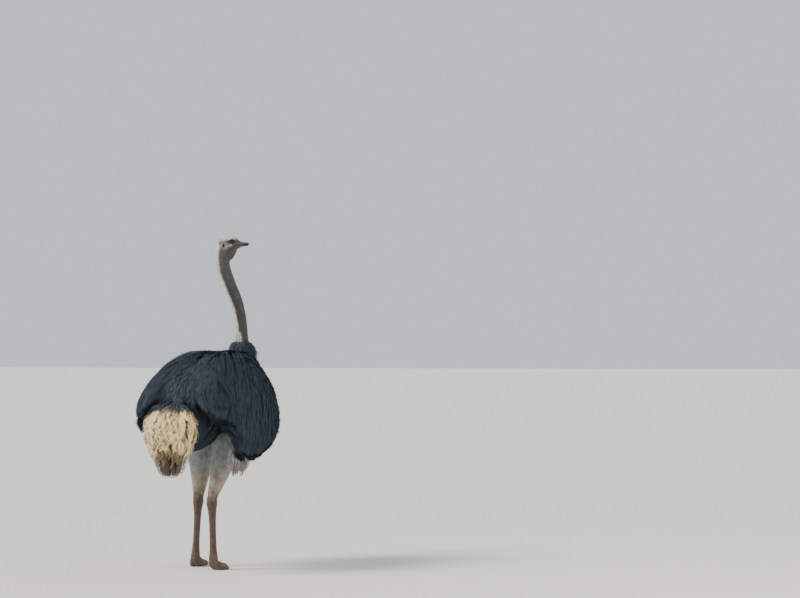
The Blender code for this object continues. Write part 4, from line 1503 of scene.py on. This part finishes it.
# tufts of short plumes lie over one another in tiers, with longer plumes under them
def makeTail():
    rng = np.random.default_rng(21)
    form = tailForm
    rows = hangingForm("tail")
    tufts, inner, low = form["tufts"], form["inner"], form["low"]
    outer = tufts * form["each"]
    # tufts are spread evenly: each turns by the golden angle from the one before
    place = ((np.arange(tufts) + 0.5) / tufts) ** 1.3
    tuftTurn = np.arange(tufts) * 2.39996 + rng.normal(0, 0.12, tufts)
    crest = tuftTurn[form["crest"]]
    crest[:] = form["crestTurn"][0] + rng.normal(0, form["crestTurn"][1], len(crest))  # it faces back
    tuftUp = form["top"][0] + (form["top"][1] - form["top"][0]) * place + rng.normal(0, 0.006, tufts)
    tuftSize = rng.uniform(*form["length"], tufts)
    tuftShare = rng.uniform(0.88, 0.99, tufts)
    tuftTint = rng.uniform(0.50, 1.1, tufts)
    tuft = np.repeat(np.arange(tufts), form["each"])
    apart = rng.normal(0, form["apart"], outer)
    # the tufts' plumes come first, then the longer ones under them
    turn = np.concatenate([tuftTurn[tuft] + apart, rng.uniform(0, 2 * math.pi, inner)])
    startUp = tuftUp[tuft] + rng.normal(0, 0.008, outer)
    startUp = np.concatenate([startUp, rng.uniform(*form["under"], inner)])
    endUp = startUp[:outer] - tuftSize[tuft] * rng.uniform(0.85, 1.08, outer) + 0.25 * abs(apart)
    endUp = np.maximum(np.concatenate([endUp, low + 0.08 * rng.beta(1.0, 2.2, inner)]), low)
    share = tuftShare[tuft] - 9.0 * apart**2 - rng.uniform(0, 0.05, outer)
    share = np.concatenate([share, rng.uniform(0.40, 0.90, inner)])
    gathered = form["gathered"] * ease(tuftUp, 1.09, 1.16) * rng.uniform(0.25, 1.0, tufts)
    rise = form["rise"] + np.concatenate([gathered[tuft], np.zeros(inner)])
    # painted shade: plumes at the edges of each tuft and the longer plumes beneath the tufts get low tints,
    # which the material darkens
    tint = tuftTint[tuft] - 5.5 * abs(apart) + rng.normal(0, 0.08, outer)
    tint = np.clip(np.concatenate([tint, rng.uniform(0.0, 0.3, inner)]), 0, 1)
    lock = np.concatenate([tuft, tufts + np.arange(inner) % 40])
    shafts, out = hangPlumes(rows, turn, share, startUp, endUp, rise, lock, form, rng)
    # the crest's roots lie further in, under the black plumage
    rooted = form["rooted"] * ease(tuftUp, 1.08, 1.15)[tuft]
    shafts[:outer, :, 1] -= rooted[:, None] * (1 - ease(np.linspace(0, 1, form["points"]), 0.0, 0.45))
    reach = [rng.uniform(*form["reach"], outer), rng.uniform(*form["innerReach"], inner)]
    rows = shafts, out, np.concatenate(reach), creamPlume, tint, unwrapPlaces(shafts[:, 0])
    tail = makePlumes("tail_plumes", *rows, rng)
    addSoilAndShade(tail, *form["soil"])
    finishPiece(tail, makePalePlume("creamPlume", *form["tones"]), "tail_plumes", "tail")
    print("tail plumes:", outer + inner, "faces", len(tail.data.polygons))


# short black plumes of the rump hang over the crest's roots
def makeRump():
    rng = np.random.default_rng(71)
    form = rumpForm
    rows = hangingForm("tail")
    count = form["count"]
    turn = rng.uniform(0, 2 * math.pi, count)
    startUp, endUp, share = (rng.uniform(*form[name], count) for name in ("start", "end", "share"))
    rise, lock = np.full(count, form["rise"]), np.arange(count)
    shafts, out = hangPlumes(rows, turn, share, startUp, endUp, rise, lock, form, rng)
    shafts[..., 1] -= form["rooted"] * (1 - ease(np.linspace(0, 1, form["points"]), 0.0, 0.7))
    reach = rng.uniform(*form["reach"], count)
    # painted shade: the rump's plumes, which face up to the light, get lower tints and so darker tones
    rows = shafts, out, reach, blackPlume, form["darkened"] * rng.beta(2.0, 2.6, count)
    rump = makePlumes("black_plumes_rump", *rows, unwrapPlaces(shafts[:, 0]), rng)
    finishPiece(rump, blackMaterial, "black_plumage")


def makeWingTips():
    form = tipForm
    white = makePalePlume("whitePlume", *form["tones"])
    for side, seed in (("left", 31), ("right", 32)):
        rng = np.random.default_rng(seed)
        rows = hangingForm("wing_tip_" + side)
        low, high = rows[0, 0], rows[-1, 0]
        count = form["count"]
        turn = rng.uniform(0, 2 * math.pi, count)
        share = rng.uniform(*form["share"], count)
        startUp = high + rng.uniform(-0.03, 0.02, count)
        endUp = low + (high - low) * 0.72 * rng.beta(1.0, 1.5, count)
        rise, lock = np.full(count, form["rise"]), np.arange(count)
        shafts, out = hangPlumes(rows, turn, share, startUp, endUp, rise, lock, form, rng)
        rows = shafts, out, rng.uniform(*form["reach"], count), creamPlume, rng.uniform(0, 1, count)
        plumes = makePlumes("wing_tip_plumes_" + side, *rows, unwrapPlaces(shafts[:, 0]), rng)
        soilAndShadeHeight, soilAndShadeWidth = form["soil"]
        addSoilAndShade(plumes, low, low + soilAndShadeHeight, boxMiddle("wing_tip_" + side).x, soilAndShadeWidth)
        finishPiece(plumes, white, "white_plumes", "wing_tip_" + side)
    print("wing tip plumes made")


makeTail()
makeRump()
makeWingTips()

# ---- down, bristles and lashes ----
downForm = {
    "collarBack": (0.56, 0.83, 0), "collarTones": ("#5b594f", "#dbd9cb"),
    # name, blades, their lengths, how far they stand off, width, slot
    "pieces": (
        ("head_bristles", 5200, (0.005, 0.010), 0.45, 0.0007, "bare_skin"),
        ("neck_down", 9000, (0.008, 0.016), 0.40, 0.0009, "bare_skin"),
        ("neck_collar", 1100, (0.022, 0.040), 0.34, 0.0032, "white_plumes"),
    ),
}


# short hairs and tufts: thin curved blades, three triangles each
def makeBlades(name, roots, normals, along, length, lift, width, colours, rng):
    count = len(roots)
    lean = unit(along + normals * lift[:, None] + rng.normal(0, 0.16, (count, 3)))
    across = unit(np.cross(lean, normals)) * width[:, None] / 2
    base = roots - normals * 0.0006
    middle = base + lean * (length * 0.5)[:, None]
    tip = base + unit(lean + along * 0.7 - normals * 0.25) * length[:, None]
    points = np.stack([base - across, base + across, middle - across * 0.8, middle + across * 0.8, tip], 1)
    faces = np.array(bladeFaces)[None] + (np.arange(count) * 5)[:, None, None]
    blades = meshFrom(name, points.reshape(-1, 3), faces.reshape(-1, 3))
    addAttribute(blades, "tone", np.repeat(colours, 5, 0))
    addPatches(blades, np.repeat(unwrapPlaces(roots), 5, 0), np.tile([-1, 1, -1, 1, 0], count),
               np.tile([0, 0, 0.5, 0.5, 1], count), faces.ravel())
    return blades


# down: dull, fine and dry
def makeDownMaterial():
    material, tree, shader = newMaterial("birdDown")
    shade = addRamp(tree, addNoise(tree, placeOn(tree), 0.012, 2.0), (0.3, "#b5aca4"), (0.7, "#ffffff"))
    tone = darken(tree, 1.0, readAttribute(tree, "tone", "Color"), shade)
    setNode(tree, shader, {"Base Color": tone, "Roughness": 0.8, "Sheen Weight": 0.2})
    return material


def makeDown():
    rng = np.random.default_rng(41)
    points, normals = skinSurface["points"], skinSurface["normals"]
    tones = np.empty(len(points) * 4, np.float32)
    skin.data.attributes["tone"].data.foreach_get("color", tones)
    tones = tones.reshape(-1, 4)[:, :3].astype(float)
    local = worldToHead(points)
    height = points[:, 2]
    onHead = (height > 2.2) & (local[:, 2] > -0.055)
    along, _, up = headPlaces(local)
    offEyes = np.ones(len(points))
    for sign in (1, -1):
        _, distance, angle, round_ = eyePolar(local, sign)
        offEyes *= 1 - (distance < eyeForm["radius"] + 0.008) * (angle < lidEdge(round_) + 0.35)
    hind = ease(normals @ np.array(downForm["collarBack"]), 0.2, 0.6)
    weights = (
        onHead * offEyes * (1 - ease(along, 0.125, 0.160)) * (0.30 + 0.70 * ease(up, 0.010, 0.036)),
        ~onHead * ease(height, 1.56, 1.60) * (0.35 + 0.65 * ease(normals[:, 1], -0.1, 0.8)),
        ~onHead * ease(height, 1.57, 1.59) * (1 - ease(height, 1.61, 1.69)) * (0.25 + 0.75 * hind),
    )
    # vertices are closer together on the head, so weights are by area
    area = np.interp(height, heightRow, finenessRow) ** -2
    made = []
    down = makeDownMaterial()
    for weight, (name, count, lengths, lift, width, slotName) in zip(weights, downForm["pieces"]):
        weight = np.clip(weight * area, 0, None)
        chosen = rng.choice(len(points), count, p=weight / weight.sum())
        roots, normal = points[chosen] + rng.normal(0, 0.0012, (count, 3)), normals[chosen]
        headBack = headTurn @ np.array([0, 0.9, -0.45])
        back = np.where(onHead[chosen][:, None], headBack, np.array([0, 0.05, -1.0]))
        back = unit(back - normal * dot(back, normal))
        length = rng.uniform(*lengths, count)
        colours = tones[chosen] * rng.uniform(0.65, 1.20, (count, 1))
        if name == "neck_collar":  # white behind, greyer in front
            # the white side faces the key light and is partly a painted highlight
            grey, white = (np.array(srgb(code)[:3]) for code in downForm["collarTones"])
            behind = ease(normal @ np.array(downForm["collarBack"]), 0.30, 0.66)[:, None]
            colours = (grey * (1 - behind) + white * behind) * rng.uniform(0.7, 1.1, (count, 1))
        lift = lift * rng.uniform(0.4, 1.6, count)
        colours = np.clip(colours, 0, 1)
        blades = makeBlades(name, roots, normal, back, length, lift, np.full(count, width), colours, rng)
        finishPiece(blades, down, slotName)
        made.append(len(blades.data.polygons))
    print("down and bristles:", made)


# stiff black lashes stand out from the edge of each upper lid
def makeLashes():
    rng = np.random.default_rng(51)
    count, width = eyeLook["lashes"], eyeLook["lashWidth"]
    lash, tree, shader = newMaterial("lashBristle")  # glossy black bristle
    cloud = addNode(tree, "TexNoise", {"Scale": 1 / 0.003}).outputs["Fac"]
    tone = addRamp(tree, cloud, (0.3, "#0c0b0b"), (0.7, "#1c1817"))
    setNode(tree, shader, {"Base Color": tone, "Roughness": 0.4})
    roots, outs, ups = [], [], []
    for sign in (1, -1):
        round_ = np.linspace(math.radians(12), math.radians(168), count)
        out = eyeRays(lidEdge(round_) + 0.01, round_, sign)
        roots.append(out * (eyeForm["radius"] + 0.0022) + eyeCentre(sign))
        outs.append(unit(out + np.array([sign * 0.6, 0, 0.0])))
        ups.append(unit(np.array([[0, 0, 1.0]]) + out * [0, 0.8, 0]))
    roots = headToWorld(np.concatenate(roots))
    outs, ups = np.concatenate(outs) @ headTurn.T, np.concatenate(ups) @ headTurn.T
    length = eyeLook["lashLength"] * rng.uniform(0.7, 1.1, (2 * count, 1))[:, None]
    t = np.linspace(0, 1, 7)[None, :, None]
    line = roots[:, None] + length * (outs[:, None] * t + ups[:, None] * 0.55 * t**2)
    sideways = unit(np.cross(outs, ups))
    other = unit(np.cross(sideways, outs))[:, None] * width
    sideways = sideways[:, None] * width
    taper = 1 - 0.92 * t
    corners = [sideways * math.cos(a) + other * math.sin(a) for a in (0, 2 * math.pi / 3, 4 * math.pi / 3)]
    points = np.stack([line + c * taper for c in corners], 2).reshape(-1, 3)
    faces = np.concatenate([ringFaces(7, 3) + 21 * i for i in range(2 * count)])
    finishPiece(meshFrom("eye_lashes", points, faces), lash, "claw_horn")


makeDown()
makeLashes()
print("down, bristles and lashes made")

bpy.data.objects.remove(envelope)
for name in ("Cube", "Light", "Camera"):
    if name in bpy.data.objects and bpy.data.objects[name] is not bpy.context.scene.camera:
        bpy.data.objects.remove(bpy.data.objects[name])
